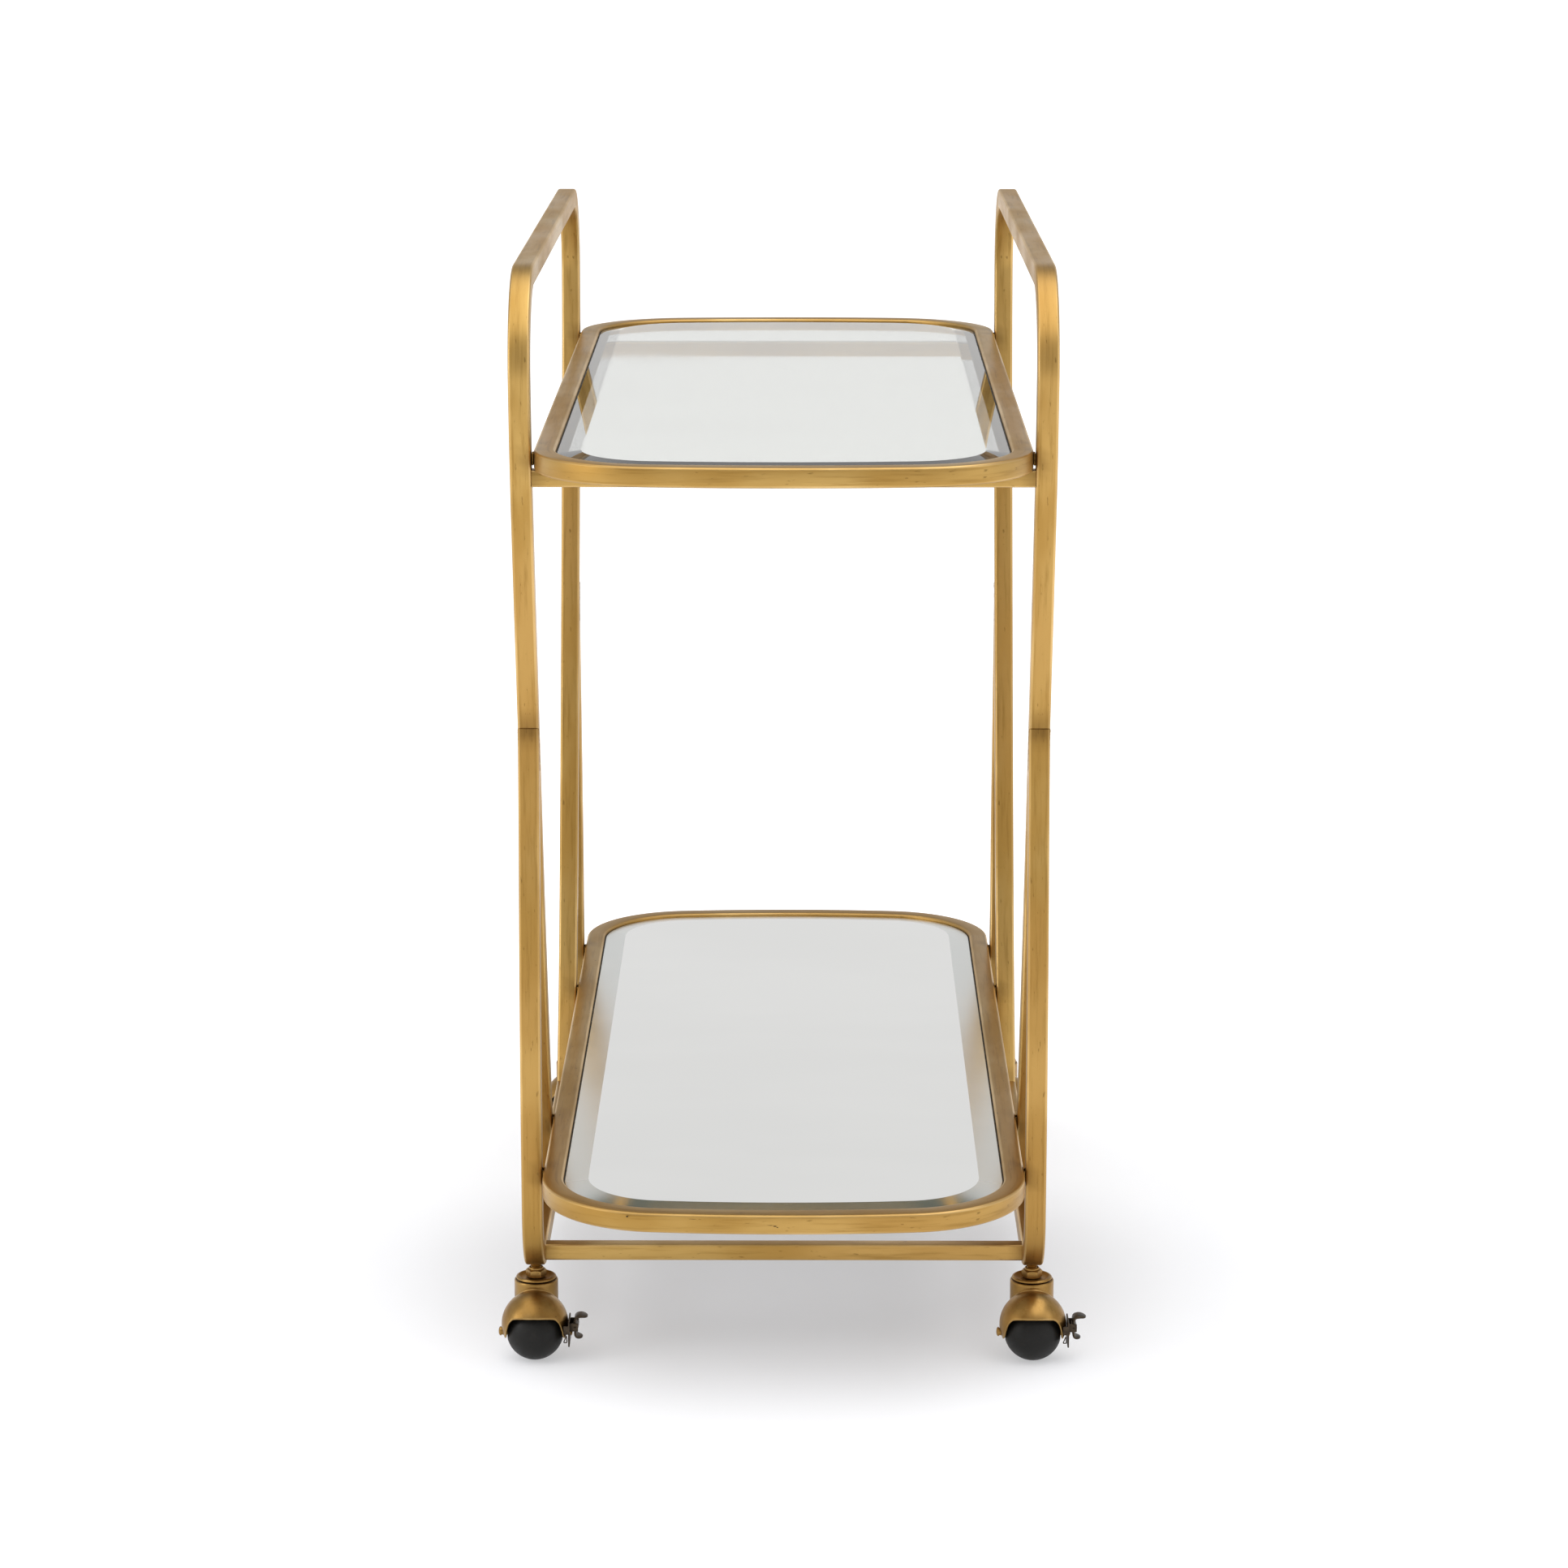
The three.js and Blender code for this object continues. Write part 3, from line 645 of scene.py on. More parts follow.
def tray_tube(name, top, node):
    middle = even_outline(TUBE / 2, top - RIM_HEIGHT / 2)
    section = rounded_section(TUBE, RIM_HEIGHT, TUBE_EDGE)
    rim = sweep(name, middle, (0, 0, 1), section, TUBE_BRASS, closed=True)
    places = []
    for sign_x in (-1, 1):
        for sign_y in (-1, 1):
            for reach in (reach_at(post_line, top - RIM_HEIGHT / 2), LEG_REACH):
                places.append(Vector((sign_x * TRAY_HALF_WIDTH, sign_y * reach, top - RIM_HEIGHT / 2)))
    mark_welds(rim, places, 13 * MM)
    return settle(rim, "frame", [node])


def tray_ledge(name, top, node):
    upper = top - PANEL_RECESS - PANEL_THICK - 0.3 * MM
    inset = TUBE + 0.3 * MM + LEDGE_WIDTH / 2
    line = even_outline(inset, upper - LEDGE_THICK / 2)
    section = rounded_section(LEDGE_WIDTH, LEDGE_THICK, 0.5 * MM, 2)
    ledge = sweep(name, line, (0, 0, 1), section, TUBE_BRASS, closed=True)
    return settle(ledge, "frame", [node])


def tray_panel(name, top, node, material, border=None):
    """A plate with a ground border that slopes down to its edge, and a fine arris at each edge."""
    inset = TUBE + PANEL_REVEAL
    upper = top - PANEL_RECESS
    lower = upper - PANEL_THICK
    arris = 0.35 * MM
    levels = [
        (inset + PANEL_BEVEL, lower),
        (inset + arris, lower),
        (inset, lower + arris),
        (inset, upper - BEVEL_DROP - arris),
        (inset + arris, upper - BEVEL_DROP),
        (inset + PANEL_BEVEL, upper),
    ]
    rings = [tray_outline(i, z) for i, z in levels]
    count = len(rings[0])
    faces = [tuple(reversed(range(count)))]
    faces += ring_quads(len(rings), count)
    faces.append(tuple((len(rings) - 1) * count + i for i in range(count)))
    panel = make_object(name, [p for ring in rings for p in ring], faces, material)
    crease = set(range((len(rings) - 1) * count, len(rings) * count))
    for edge in panel.data.edges:
        if edge.vertices[0] in crease and edge.vertices[1] in crease:
            edge.use_edge_sharp = True
    if border:
        panel.data.materials.append(border)
        sloping = slice(1 + (len(rings) - 2) * count, 1 + (len(rings) - 1) * count)
        for polygon in panel.data.polygons[sloping]:
            polygon.material_index = 1
    return settle(panel, "frame", [node])


def tray_gap_shade(name, top):
    """A dark strip in the gap between a panel and its rim: painted shade standing in for the shadow in that
    gap.
    """
    width = PANEL_REVEAL - 0.1 * MM
    line = even_outline(TUBE + PANEL_REVEAL / 2, top - PANEL_RECESS - BEVEL_DROP - 1.6 * MM)
    gap_shade = sweep(name, line, (0, 0, 1), rounded_section(width, 2.6 * MM, 0.3 * MM, 3), RUBBER, closed=True)
    return settle(gap_shade, "frame", [])


for place, top in (("top", TRAY_HIGH.z), ("bottom", BOTTOM_TRAY_TOP)):
    # Painted shade: a dark strip in each tray's gap between panel and rim.
    tray_gap_shade(f"{place}_tray_gap_shade", top)
    tray_tube(f"{place}_tray_tube", top, f"{place}_tray_rim")
    tray_ledge(f"{place}_tray_inner_ledge", top, f"{place}_tray_ledge")
tray_panel("upper_glass_panel", TRAY_HIGH.z, "top_glass", GLASS)
tray_panel("lower_mirror_panel", BOTTOM_TRAY_TOP, "bottom_mirror", MIRROR, MIRROR_BORDER)


def rim_chip(name, x, z, length, height):
    """A small ragged chip in the finish on the front face of the lower tray's rim."""
    bow_y = TRAY_HALF_LENGTH - TRAY_BOW
    count = 18
    points = []
    for proud, size in ((-0.4 * MM, 1.0), (0.005 * MM, 0.8)):
        for j in range(count):
            angle = 2 * math.pi * j / count
            ragged = size * (0.75 + 0.5 * random.random())
            px = x + 0.5 * length * ragged * math.cos(angle)
            face = math.sqrt(TRAY_BOW**2 - px**2) + bow_y
            points.append(Vector((px, -face - proud, z + 0.5 * height * ragged * math.sin(angle))))
    faces = [tuple(reversed(range(count))), tuple(count + j for j in range(count))]
    faces += ring_quads(2, count)
    return make_object(name, points, faces, CHIP, 60.0)


chip_z = BOTTOM_TRAY_TOP - RIM_HEIGHT / 2
rim_chips = [
    rim_chip("rim_chips", -6 * MM, chip_z - 0.5 * MM, 3.6 * MM, 1.1 * MM),
    rim_chip("rim_chip_long", -9.5 * MM, chip_z + 0.1 * MM, 6 * MM, 0.5 * MM),
    rim_chip("rim_chip_drop", -4.2 * MM, chip_z - 1.4 * MM, 1.6 * MM, 1.0 * MM),
    rim_chip("rim_chip_thin", -67 * MM, chip_z + 4.2 * MM, 7 * MM, 0.45 * MM),
    rim_chip("rim_chip_left", -116 * MM, chip_z + 4.6 * MM, 1.8 * MM, 0.9 * MM),
]
settle(join("rim_chips", rim_chips), "frame", [])


# ---------------------------------------------------------------- cross members and welds
def cross_member(name, node):
    low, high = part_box(node)
    middle = (low + high) / 2
    reach = Vector(((high.x - low.x) / 2 + 0.3 * MM, 0, 0))
    line = fill_in([middle - reach, middle + reach], 12 * MM)
    size = high.z - low.z
    bar = sweep(name, line, (0, 0, 1), rounded_section(size, size, 1.4 * MM), TUBE_BRASS)
    mark_welds(bar, [line[0], line[-1]], 14 * MM)
    return settle(bar, "frame", [node])


for end in ("front", "rear"):
    cross_member(f"{end}_under_tray_bar", f"{end}_crossbar")
    cross_member(f"{end}_base_bar", f"{end}_stretcher")


def tab_weld(node):
    """Two short upright beads that fill the slit between a rim and a side frame."""
    low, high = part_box(node)
    middle = (low + high) / 2
    beads = []
    for sign in (-1, 1):
        y = middle.y + sign * (high.y - low.y) * 0.36
        line = fill_in([Vector((middle.x, y, low.z)), Vector((middle.x, y, high.z))], 0.8 * MM)
        sizes = [(1.0 + 0.3 * noise.noise(p * 500)) * MM for p in line]
        sizes[0] = sizes[-1] = 0.5 * MM
        beads.append(round_wire(f"{node}_{sign}", line, lambda i, sizes=sizes: sizes[i], TUBE_BRASS, 10))
    weld = join(f"{node}_beads", beads)
    store(weld, "weld", [0.7] * len(weld.data.vertices))
    return settle(weld, "frame", [node])


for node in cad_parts:
    if node.endswith("_weld"):
        tab_weld(node)


# ---------------------------------------------------------------- caster pieces
hood_line = catmull_rom(HOOD_EDGE, 8)


def hood_edge(turn):
    """Elevation of the hood's lower edge for a turn from the front.

    It has a high brow in front, an ear over each end of the axle and a low back.
    """
    angle = math.degrees(turn)
    for (a0, e0), (a1, e1) in zip(hood_line, hood_line[1:]):
        if a0 <= angle <= a1:
            return math.radians(e0 + (e1 - e0) * (angle - a0) / max(1e-6, a1 - a0))
    return math.radians(hood_line[-1][1])


def hood_shell(name, place):
    """A round shell of even thickness with a rolled lower edge, as one closed mesh."""
    turns = 180
    rows = 22
    inner_rows = 10
    thick = HOOD_OUTER - HOOD_INNER
    rings = []
    for k in range(1, rows + 1):
        rings.append((HOOD_OUTER, k / rows, 0.0))
    rings.append((HOOD_OUTER - 0.25 * thick, 1.0, 0.3 * thick))
    rings.append((HOOD_OUTER - 0.75 * thick, 1.0, 0.3 * thick))
    for k in range(inner_rows, 0, -1):
        rings.append((HOOD_INNER, k / inner_rows, 0.0))
    points = [place + Vector((0, 0, HOOD_OUTER))]
    edges = [0.0]
    for number, (radius, part, drop) in enumerate(rings):
        for j in range(turns):
            turn = 2 * math.pi * j / turns
            low = hood_edge(min(turn, 2 * math.pi - turn))
            elevation = math.pi / 2 + (low - math.pi / 2) * part - drop / radius
            flat = radius * math.cos(elevation)
            height = radius * math.sin(elevation)
            points.append(place + Vector((flat * math.sin(turn), -flat * math.cos(turn), height)))
            # The rows round the rolled lower edge get an edge value of 0.7, which the brass material paints
            # as a lighter highlight.
            edges.append(0.7 if rows - 1 <= number <= rows + 1 else 0.0)
    points.append(place + Vector((0, 0, HOOD_INNER)))
    edges.append(0.0)
    faces = ring_quads(len(rings), turns, start=1, turned_over=True)
    last = 1 + (len(rings) - 1) * turns
    for j in range(turns):
        k = (j + 1) % turns
        faces.append((0, 1 + j, 1 + k))
        faces.append((last + j, len(points) - 1, last + k))
    shell = make_object(name, points, faces, CAST_BRASS, 50.0)
    store(shell, "edge", edges)
    return shell


# The neck's ends, measured from the hood's centre.
neck_low = NECK_BOTTOM - BALL_RADIUS - HOOD_RISE
neck_high = NECK_TOP - BALL_RADIUS - HOOD_RISE


def neck_floor(x, y):
    """Height above the hood centre of the neck's lower face, inside the hood's wall where they meet."""
    wall = (HOOD_OUTER + HOOD_INNER) / 2
    flat = math.hypot(x, y)
    if flat >= wall:
        return neck_low
    return max(neck_low, math.sqrt(wall**2 - flat**2))


def hood_neck(name, place):
    """The upright swivel housing behind the ball, ending on the hood's curved wall."""
    segments = 64
    dish = neck_high - 1.4 * MM
    upper = [
        (NECK_RADIUS, neck_high - 2.2 * MM),
        (NECK_RADIUS, neck_high - 0.9 * MM),
        (NECK_RADIUS - 0.3 * MM, neck_high - 0.3 * MM),
        (NECK_RADIUS - 1 * MM, neck_high),
        (NECK_RADIUS - 1.8 * MM, neck_high - 0.4 * MM),
        (NECK_RADIUS - 2 * MM, dish),
        (6 * MM, dish),
    ]
    points = []
    steps = 6
    for part in range(steps):
        radius = NECK_RADIUS * (part + 1) / steps
        for j in range(segments):
            angle = 2 * math.pi * j / segments
            x = radius * math.sin(angle)
            y = CASTER_TRAIL - radius * math.cos(angle)
            points.append(Vector((x, y, neck_floor(x, y))))
    for radius, z in upper:
        for j in range(segments):
            angle = 2 * math.pi * j / segments
            points.append(Vector((radius * math.sin(angle), CASTER_TRAIL - radius * math.cos(angle), z)))
    rings = steps + len(upper)
    faces = ring_quads(rings, segments)
    centre_low = len(points)
    points.append(Vector((0, CASTER_TRAIL, neck_floor(0, CASTER_TRAIL))))
    centre_high = len(points)
    points.append(Vector((0, CASTER_TRAIL, dish)))
    last = (rings - 1) * segments
    for j in range(segments):
        k = (j + 1) % segments
        faces.append((centre_low, k, j))
        faces.append((centre_high, last + j, last + k))
    return make_object(name, [place + p for p in points], faces, CAST_BRASS, 40.0)


def neck_lip(name, place):
    """The raised line where the round hood meets the front of the neck."""
    steps = 60
    half_turn = 78
    line = []
    for i in range(steps + 1):
        angle = math.radians(half_turn * (2 * i / steps - 1))
        x = NECK_RADIUS * math.sin(angle)
        y = CASTER_TRAIL - NECK_RADIUS * math.cos(angle)
        rise = math.sqrt(max(0.0, HOOD_OUTER**2 - x * x - y * y))
        line.append(place + Vector((x, y, max(neck_low + 1 * MM, rise))))

    def radius_at(i):
        return 0.9 * MM * math.sqrt(math.sin(math.pi * (i + 3) / (steps + 6)))

    lip = round_wire(name, line, radius_at, CAST_BRASS, 12)
    # Edge value 0.5 paints the lip with a lighter highlight line.
    store(lip, "edge", [0.5] * len(lip.data.vertices))
    return lip


def caster_hood(name, place):
    parts = [hood_shell(name, place), hood_neck(f"{name}_neck", place), neck_lip(f"{name}_lip", place)]
    return join(name, parts)


def across(place):
    """Turns a piece made about Z so that it lies along X about a place."""
    return Matrix.Translation(place) @ Matrix.Rotation(math.pi / 2, 4, "Y")


def ball_piece(name, place):
    bore = 3.3 * MM
    recess_depth = 0.8 * MM
    rim = math.asin(math.sqrt(BALL_RADIUS**2 - BALL_FLAT**2) / BALL_RADIUS)
    surface = []
    for i in range(41):
        angle = rim + (math.pi - 2 * rim) * i / 40
        surface.append((BALL_RADIUS * math.sin(angle), -BALL_RADIUS * math.cos(angle)))
    floor = -BALL_FLAT + recess_depth
    recess = [(5.6 * MM, -BALL_FLAT), (4.8 * MM, floor), (bore, floor)]
    profile = list(reversed(recess)) + surface + [(r, -h) for r, h in recess]
    return turned(name, profile, RUBBER, 96, 30.0, across(place))


def axle_piece(name, node, place):
    """A rivet through the ball, with a low domed head on each end."""
    low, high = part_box(node)
    head = 3.6 * MM
    shank = 3 * MM
    under = HOOD_OUTER + 0.3 * MM
    left = place.x - low.x
    right = high.x - place.x
    room = right - under
    rise = 1.4 * MM if room > 2.5 * MM else 2.4 * MM
    right_under = right - rise
    profile = [
        (0, -left),
        (0.45 * head, -left + 0.12 * MM),
        (0.8 * head, -left + 0.5 * MM),
        (head, -left + 1.3 * MM),
        (head, -under),
        (shank, -under),
        (shank, right_under),
        (head, right_under),
        (head, right_under + 0.3 * rise),
        (0.8 * head, right - 0.3 * rise),
        (0.45 * head, right - 0.06 * rise),
        (0, right),
    ]
    return turned(name, profile, CAST_BRASS, 32, 40.0, across(place))


def stem_piece(name, node, place):
    """A plain shank with a rolled thread where it stands between the nut and the base rail."""
    low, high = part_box(node)
    chamfer = 0.8 * MM
    shank_top = 57 * MM
    pitch = 1.25 * MM
    profile = [(0, low.z), (STEM_RADIUS - chamfer, low.z), (STEM_RADIUS, low.z + chamfer)]
    profile.append((STEM_RADIUS, shank_top))
    z = shank_top + 0.4 * MM
    while z < high.z - 2 * MM:
        profile += [(STEM_RADIUS, z), (STEM_RADIUS - 0.45 * MM, z + 0.45 * pitch)]
        z += pitch
    profile += [(STEM_RADIUS - 0.9 * MM, high.z), (0, high.z)]
    return turned(name, profile, CAST_BRASS, 32, 20.0, Matrix.Translation((place.x, place.y, 0)))


def cap_piece(name, node, place):
    """A shallow dish with a thick rolled rim."""
    low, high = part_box(node)
    rim = high.x - place.x
    bore = STEM_RADIUS + 0.3 * MM
    z = low.z
    top = high.z
    profile = [
        (bore, z),
        (rim - 1.8 * MM, z),
        (rim - 0.6 * MM, z + 0.25 * MM),
        (rim - 0.1 * MM, z + 0.7 * MM),
        (rim, z + 1.2 * MM),
        (rim - 0.25 * MM, z + 1.8 * MM),
        (rim - 0.9 * MM, top - 0.2 * MM),
        (rim - 1.7 * MM, top),
        (rim - 2.5 * MM, top - 0.15 * MM),
        (rim - 3.6 * MM, top - 0.8 * MM),
        (rim - 5.2 * MM, top - 1.3 * MM),
        (bore, top - 1.45 * MM),
    ]
    return turned(name, profile, CAST_BRASS, 64, 50.0, Matrix.Translation((place.x, place.y, 0)))


def nut_piece(name, node, place):
    """A hexagon nut whose corners are turned down at both faces, with a round collar above it."""
    low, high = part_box(node)
    hex_top = low.z + 6 * MM
    apothem = 7 * MM
    bore = STEM_RADIUS + 0.3 * MM
    segments = 72
    chamfer_from = 6.7 * MM
    points = []
    # Radius of each ring, or None on the hexagon itself, then its height and the way its corners are turned.
    levels = [
        (bore, low.z, 0),
        (chamfer_from, low.z, 0),
        (None, low.z, 0.55),
        (None, hex_top, -0.55),
        (chamfer_from, hex_top, 0),
        (bore, hex_top, 0),
    ]
    for round_radius, z, turn_down in levels:
        for j in range(segments):
            angle = 2 * math.pi * j / segments
            to_side = (angle + math.pi / 6) % (math.pi / 3) - math.pi / 6
            radius = round_radius or apothem / math.cos(to_side)
            x = place.x + radius * math.sin(angle)
            y = place.y + radius * math.cos(angle)
            points.append(Vector((x, y, z + turn_down * (radius - chamfer_from))))
    faces = []
    for row in range(len(levels)):
        a = row * segments
        b = ((row + 1) % len(levels)) * segments
        for j in range(segments):
            k = (j + 1) % segments
            faces.append((a + k, a + j, b + j, b + k))
    hexagon = make_object(name, points, faces, CAST_BRASS, 22.0)
    collar = [
        (bore, hex_top - 0.5 * MM),
        (5.5 * MM, hex_top - 0.5 * MM),
        (5.8 * MM, hex_top + 0.5 * MM),
        (5.8 * MM, high.z - 0.6 * MM),
        (5.2 * MM, high.z),
        (bore, high.z),
    ]
    place_above = Matrix.Translation((place.x, place.y, 0))
    return join(name, [hexagon, turned(f"{name}_collar", collar, CAST_BRASS, 40, 50.0, place_above)])


# ---------------------------------------------------------------- brake pieces
def bevelled_box(name, low, high, radius, material):
    """A box with round edges, made of a swept rounded section with drawn-in ends."""
    size = high - low
    middle = (low + high) / 2
    section = rounded_section(size.x, size.y, min(radius, size.x / 2.1, size.y / 2.1), 4)
    levels = [
        (low.z, -radius),
        (low.z + 0.3 * radius, -0.3 * radius),
        (low.z + radius, 0.0),
        (high.z - radius, 0.0),
        (high.z - 0.3 * radius, -0.3 * radius),
        (high.z, -radius),
    ]
    points = []
    for z, grow in levels:
        for u, v, _ in section:
            shrink_u = (size.x + 2 * grow) / size.x
            shrink_v = (size.y + 2 * grow) / size.y
            points.append(Vector((middle.x + u * max(0.1, shrink_u), middle.y + v * max(0.1, shrink_v), z)))
    sides = len(section)
    faces = [tuple(reversed(range(sides)))]
    faces += ring_quads(len(levels), sides)
    faces.append(tuple((len(levels) - 1) * sides + j for j in range(sides)))
    return make_object(name, points, faces, material)


def brake_plate(name, node, pin):
    """A side plate with two lugs for the pin and a hook that wraps round the front of the hood's ear."""
    low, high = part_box(node)
    thick = 1.2 * MM
    lug_thick = 1.4 * MM
    lug_half = 3.3 * MM
    half = 8 * MM
    hook_reach = 3.6 * MM
    hook_from, hook_to = 24 * MM, 31 * MM
    plate_x = low.x + hook_reach
    plate_low = Vector((plate_x, low.y, low.z))
    plate_high = Vector((plate_x + thick, high.y, high.z))
    parts = [bevelled_box(name, plate_low, plate_high, 0.5 * MM, BRONZE)]
    for y in (pin.y - half, pin.y + half - lug_thick):
        lug_low = Vector((plate_x + thick / 2, y, pin.z - lug_half))
        lug_high = Vector((high.x, y + lug_thick, pin.z + lug_half))
        parts.append(bevelled_box(f"{name}_lug_{y:.3f}", lug_low, lug_high, 0.6 * MM, BRONZE))
    hook_low = Vector((low.x, low.y, hook_from))
    hook_high = Vector((plate_x + thick / 2, low.y + 1 * MM, hook_to))
    parts.append(bevelled_box(f"{name}_hook", hook_low, hook_high, 0.4 * MM, BRONZE))
    return join(name, parts)


def pedal_blade(name, side_line, place, reach, half):
    """A bent strip that follows a side-view line and is rounded in plan at its far end."""
    line = fill_in([place + Vector((x * MM, 0, z * MM)) for x, z in catmull_rom(side_line, 8)], 0.7 * MM)
    tip_x = reach - half
    points = []
    sides = len(rounded_section(1, 1, 0.1, 3))
    for i, point in enumerate(line):
        along = (line[min(i + 1, len(line) - 1)] - line[max(i - 1, 0)]).normalized()
        normal = Vector((-along.z, 0, along.x))
        beyond = max(0.0, point.x - tip_x)
        width = math.sqrt(max(0.02, 1 - (beyond / half) ** 2)) * half
        thick = 1.7 * MM * (0.55 + 0.45 * min(1.0, width / half * 1.4))
        for u, v, _ in rounded_section(2 * width, thick, 0.42 * thick, 3):
            points.append(point + Vector((0, u, 0)) + normal * v)
    faces = [tuple(range(sides))]
    faces += ring_quads(len(line), sides, turned_over=True)
    faces.append(tuple((len(line) - 1) * sides + j for j in reversed(range(sides))))
    return make_object(name, points, faces, BRONZE, 50.0)


def along_y(place):
    return Matrix.Translation(place) @ Matrix.Rotation(math.pi / 2, 4, "X")


def brake_lever(name, node, pin):
    """A two-pedal rocker round the pin: a long pedal above and a short one below."""
    low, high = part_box(node)
    half = (high.y - low.y) / 2
    hub_profile = [
        (1.5 * MM, -half),
        (2.3 * MM, -half),
        (2.6 * MM, -half + 0.3 * MM),
        (2.6 * MM, half - 0.3 * MM),
        (2.3 * MM, half),
        (1.5 * MM, half),
    ]
    hub = turned(name, hub_profile, BRONZE, 32, 35.0, along_y(pin))
    upper = [(0, 1.5), (0, 4.6), (0.7, 6.7), (2.6, 7.7), (5.5, 7.95), (9.6, 7.1)]
    lower = [(0, -1.5), (0, -6), (0.8, -8.2), (2.8, -9.2), (5.6, -9.4)]
    blades = [
        pedal_blade(f"{name}_upper", upper, pin, high.x, half),
        pedal_blade(f"{name}_lower", lower, pin, pin.x + 5.8 * MM, half),
    ]
    return join(name, [hub, *blades])


def brake_pin(name, node, pin):
    low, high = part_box(node)
    half = (high.y - low.y) / 2
    radius = 1.2 * MM
    chamfer = 0.3 * MM
    profile = [
        (0, -half),
        (radius - chamfer, -half),
        (radius, -half + chamfer),
        (radius, half - chamfer),
        (radius - chamfer, half),
        (0, half),
    ]
    return turned(name, profile, BRONZE, 20, 35.0, along_y(pin))


def brake_spring(name, node):
    """A bent wire loop under the plate's hook."""
    low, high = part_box(node)
    radius = 0.42 * MM
    y = (low.y + high.y) / 2
    corners = [
        (low.x + radius, low.z + radius),
        (high.x - radius, low.z + radius),
        (high.x - 2 * radius, high.z - radius),
    ]
    line = []
    for i in range(3):
        before, here, after = (Vector((corners[j % 3][0], y, corners[j % 3][1])) for j in (i - 1, i, i + 1))
        start = here + (before - here).normalized() * 0.8 * MM
        end = here + (after - here).normalized() * 0.8 * MM
        for k in range(7):
            t = k / 6
            line.append(start * (1 - t) ** 2 + here * 2 * t * (1 - t) + end * t**2)
    return round_wire(name, line, lambda i: radius, BRONZE, 10, closed=True)


def add_caster(end, side):
    name = f"{end}_{side}"
    stem_low, stem_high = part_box(f"{name}_stem")
    stem_axis = (stem_low + stem_high) / 2
    ball_low, ball_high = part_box(f"{name}_ball")
    ball_centre = Vector(((ball_low.x + ball_high.x) / 2, (ball_low.y + ball_high.y) / 2, BALL_RADIUS))
    for make, label, node in (
        (stem_piece, "threaded_stem", f"{name}_stem"),
        (nut_piece, "hex_nut", f"{name}_nut"),
        (cap_piece, "dished_cap", f"{name}_cap"),
    ):
        settle(make(f"{name}_{label}", node, stem_axis), "frame", [node])
    swivel = f"{name}_swivel"
    hood_centre = ball_centre + Vector((0, 0, HOOD_RISE))
    settle(caster_hood(f"{name}_round_hood", hood_centre), swivel, [f"{name}_hood"])
    settle(axle_piece(f"{name}_rivet_axle", f"{name}_axle", ball_centre), swivel, [f"{name}_axle"])
    settle(ball_piece(f"{name}_ball_wheel", ball_centre), f"{name}_wheel", [f"{name}_ball"])
    if end == "front":
        pin_low, pin_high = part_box(f"{name}_brake_pin")
        pin = (pin_low + pin_high) / 2
        plate = brake_plate(f"{name}_side_plate", f"{name}_brake_plate", pin)
        settle(plate, swivel, [f"{name}_brake_plate"])
        lever_pin = brake_pin(f"{name}_lever_pin", f"{name}_brake_pin", pin)
        settle(lever_pin, swivel, [f"{name}_brake_pin"])
        spring = brake_spring(f"{name}_wire_spring", f"{name}_brake_spring")
        settle(spring, swivel, [f"{name}_brake_spring"])
        lever = brake_lever(f"{name}_rocker_lever", f"{name}_brake_lever", pin)
        settle(lever, f"{name}_brake", [f"{name}_brake_lever"])


for end in ("front", "rear"):
    for side in ("left", "right"):
        add_caster(end, side)


# ---------------------------------------------------------------- stage and light
def add_floor():
    """A wide pale floor whose far parts fade to white, with a painted shadow pool round the cart: there it
    glows less and its colour is darker and bluer.
    """
    steps = 96
    rings = [0.0, 0.6, 1.2, 2.0, 3.5, 6.0, 10.0, 20.0, 40.0]
    points = [Vector((0, 0, 0))]
    for radius in rings[1:]:
        for j in range(steps):
            angle = 2 * math.pi * j / steps
            points.append(Vector((radius * math.cos(angle), radius * math.sin(angle), 0)))
    faces = [(0, 1 + j, 1 + (j + 1) % steps) for j in range(steps)]
    faces += ring_quads(len(rings) - 1, steps, start=1, turned_over=True)
    m = material_nodes("floor")
    distance = m.add("ShaderNodeVectorMath", operation="LENGTH")
    m.link(m.place((0.8, 1.0, 1.0)), distance.inputs[0])
    reach = distance.outputs["Value"]
    # The darker, bluer colour near the cart paints the shade under it.
    near = (0.5, 0.505, 0.525, 1.0)
    far = (0.55, 0.55, 0.55, 1.0)
    m.output(m.mix(m.spread(reach, 0.3, 1.6), near, far), "Base Color")
    m.set(Roughness=0.75, Specular_IOR_Level=0.1, Emission_Color=(0.99, 0.99, 1.0, 1.0))
    # Painted shadow: the floor's glow drops round the cart, lowest near the middle.
    shadow_pool_glow = m.spread(reach, 0.12, 0.34, 0.28, 0.485)
    far_away = m.spread(reach, 0.28, 0.95, 0.0, 0.33)
    m.output(m.math("ADD", shadow_pool_glow, far_away), "Emission Strength")
    floor = make_object("floor", points, faces, m.owner)
    # Moves the centre of the painted shadow pool forwards.
    floor.location.y = -0.12


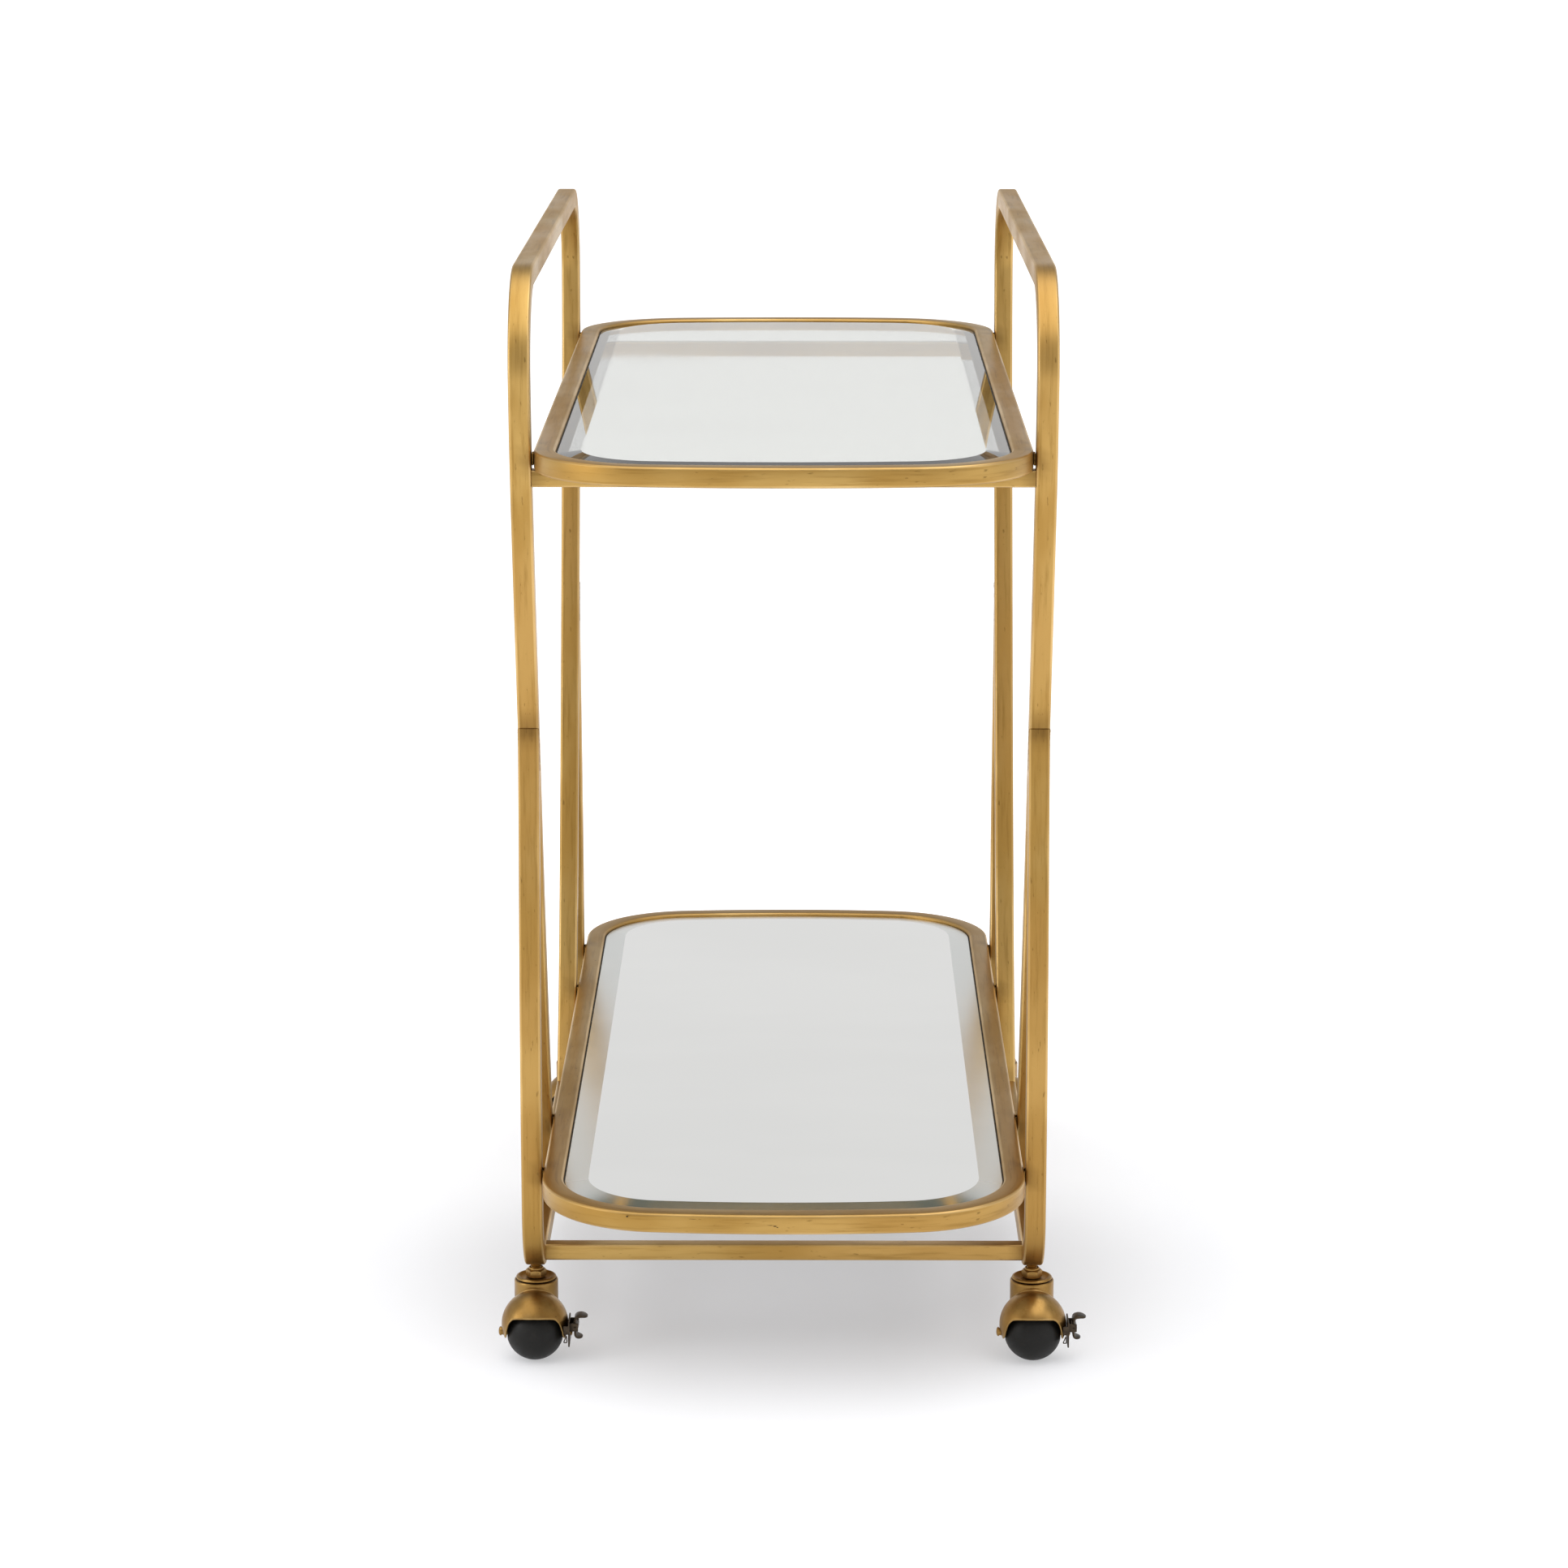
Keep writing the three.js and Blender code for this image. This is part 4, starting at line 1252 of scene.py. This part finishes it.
def add_light(name, place, target, size, power):
    data = bpy.data.lights.new(name, "AREA")
    data.shape = "RECTANGLE"
    data.size, data.size_y = size
    data.energy = power
    light = bpy.data.objects.new(name, data)
    light.location = place
    light.rotation_euler = (Vector(target) - Vector(place)).to_track_quat("-Z", "Y").to_euler()
    bpy.context.scene.collection.objects.link(light)


def set_world():
    """A studio seen by its direction: pale walls, a soft ceiling and a dark screen high behind the cart."""
    m = Nodes(bpy.data.worlds.new("studio"), "Background")
    split = m.add("ShaderNodeSeparateXYZ")
    m.link(m.add("ShaderNodeTexCoord").outputs["Generated"], split.inputs["Vector"])

    def band(axis, low, high, soft):
        """1 between two values of one axis of the direction, falling to 0 over a soft edge."""
        value = split.outputs[axis]
        return m.math("MULTIPLY", m.spread(value, low - soft, low), m.spread(value, high + soft, high))

    ramp = m.add("ShaderNodeValToRGB")
    levels = [(0.0, 0.9), (0.5, 0.86), (0.66, 0.74), (0.8, 0.55), (0.92, 0.66), (1.0, 0.8)]
    elements = ramp.color_ramp.elements
    ends = [elements[0], elements[1]]
    for element, (position, level) in zip(ends, (levels[0], levels[-1])):
        element.position = position
        element.color = (level, level, level, 1)
    for position, level in levels[1:-1]:
        elements.new(position).color = (level, level, level, 1)
    height = m.add("ShaderNodeMapRange")
    height.inputs["From Min"].default_value = -1
    height.inputs["From Max"].default_value = 1
    m.link(split.outputs["Z"], height.inputs["Value"])
    m.link(height.outputs["Result"], ramp.inputs["Fac"])
    screen = m.math("MULTIPLY", band("X", -0.42, 0.42, 0.03), band("Y", 0.5, 1.0, 0.05))
    screen = m.math("MULTIPLY", screen, band("Z", 0.44, 0.62, 0.012))
    m.output(m.mix(screen, ramp.outputs["Color"], (0.115, 0.13, 0.11, 1.0)), "Color")
    m.set(Strength=1.0)
    bpy.context.scene.world = m.owner


add_floor()
set_world()
add_light("ceiling_light", (0, -0.6, 3.2), (0, 0, 0), (4.4, 4.4), 92)
add_light("left_light", (-2.8, -1.3, 1.5), (0, 0, 0.4), (1.4, 2.2), 26)
add_light("right_light", (2.8, -1.5, 1.7), (0, 0, 0.5), (1.4, 2.2), 9)
bpy.context.scene.view_settings.view_transform = "Standard"
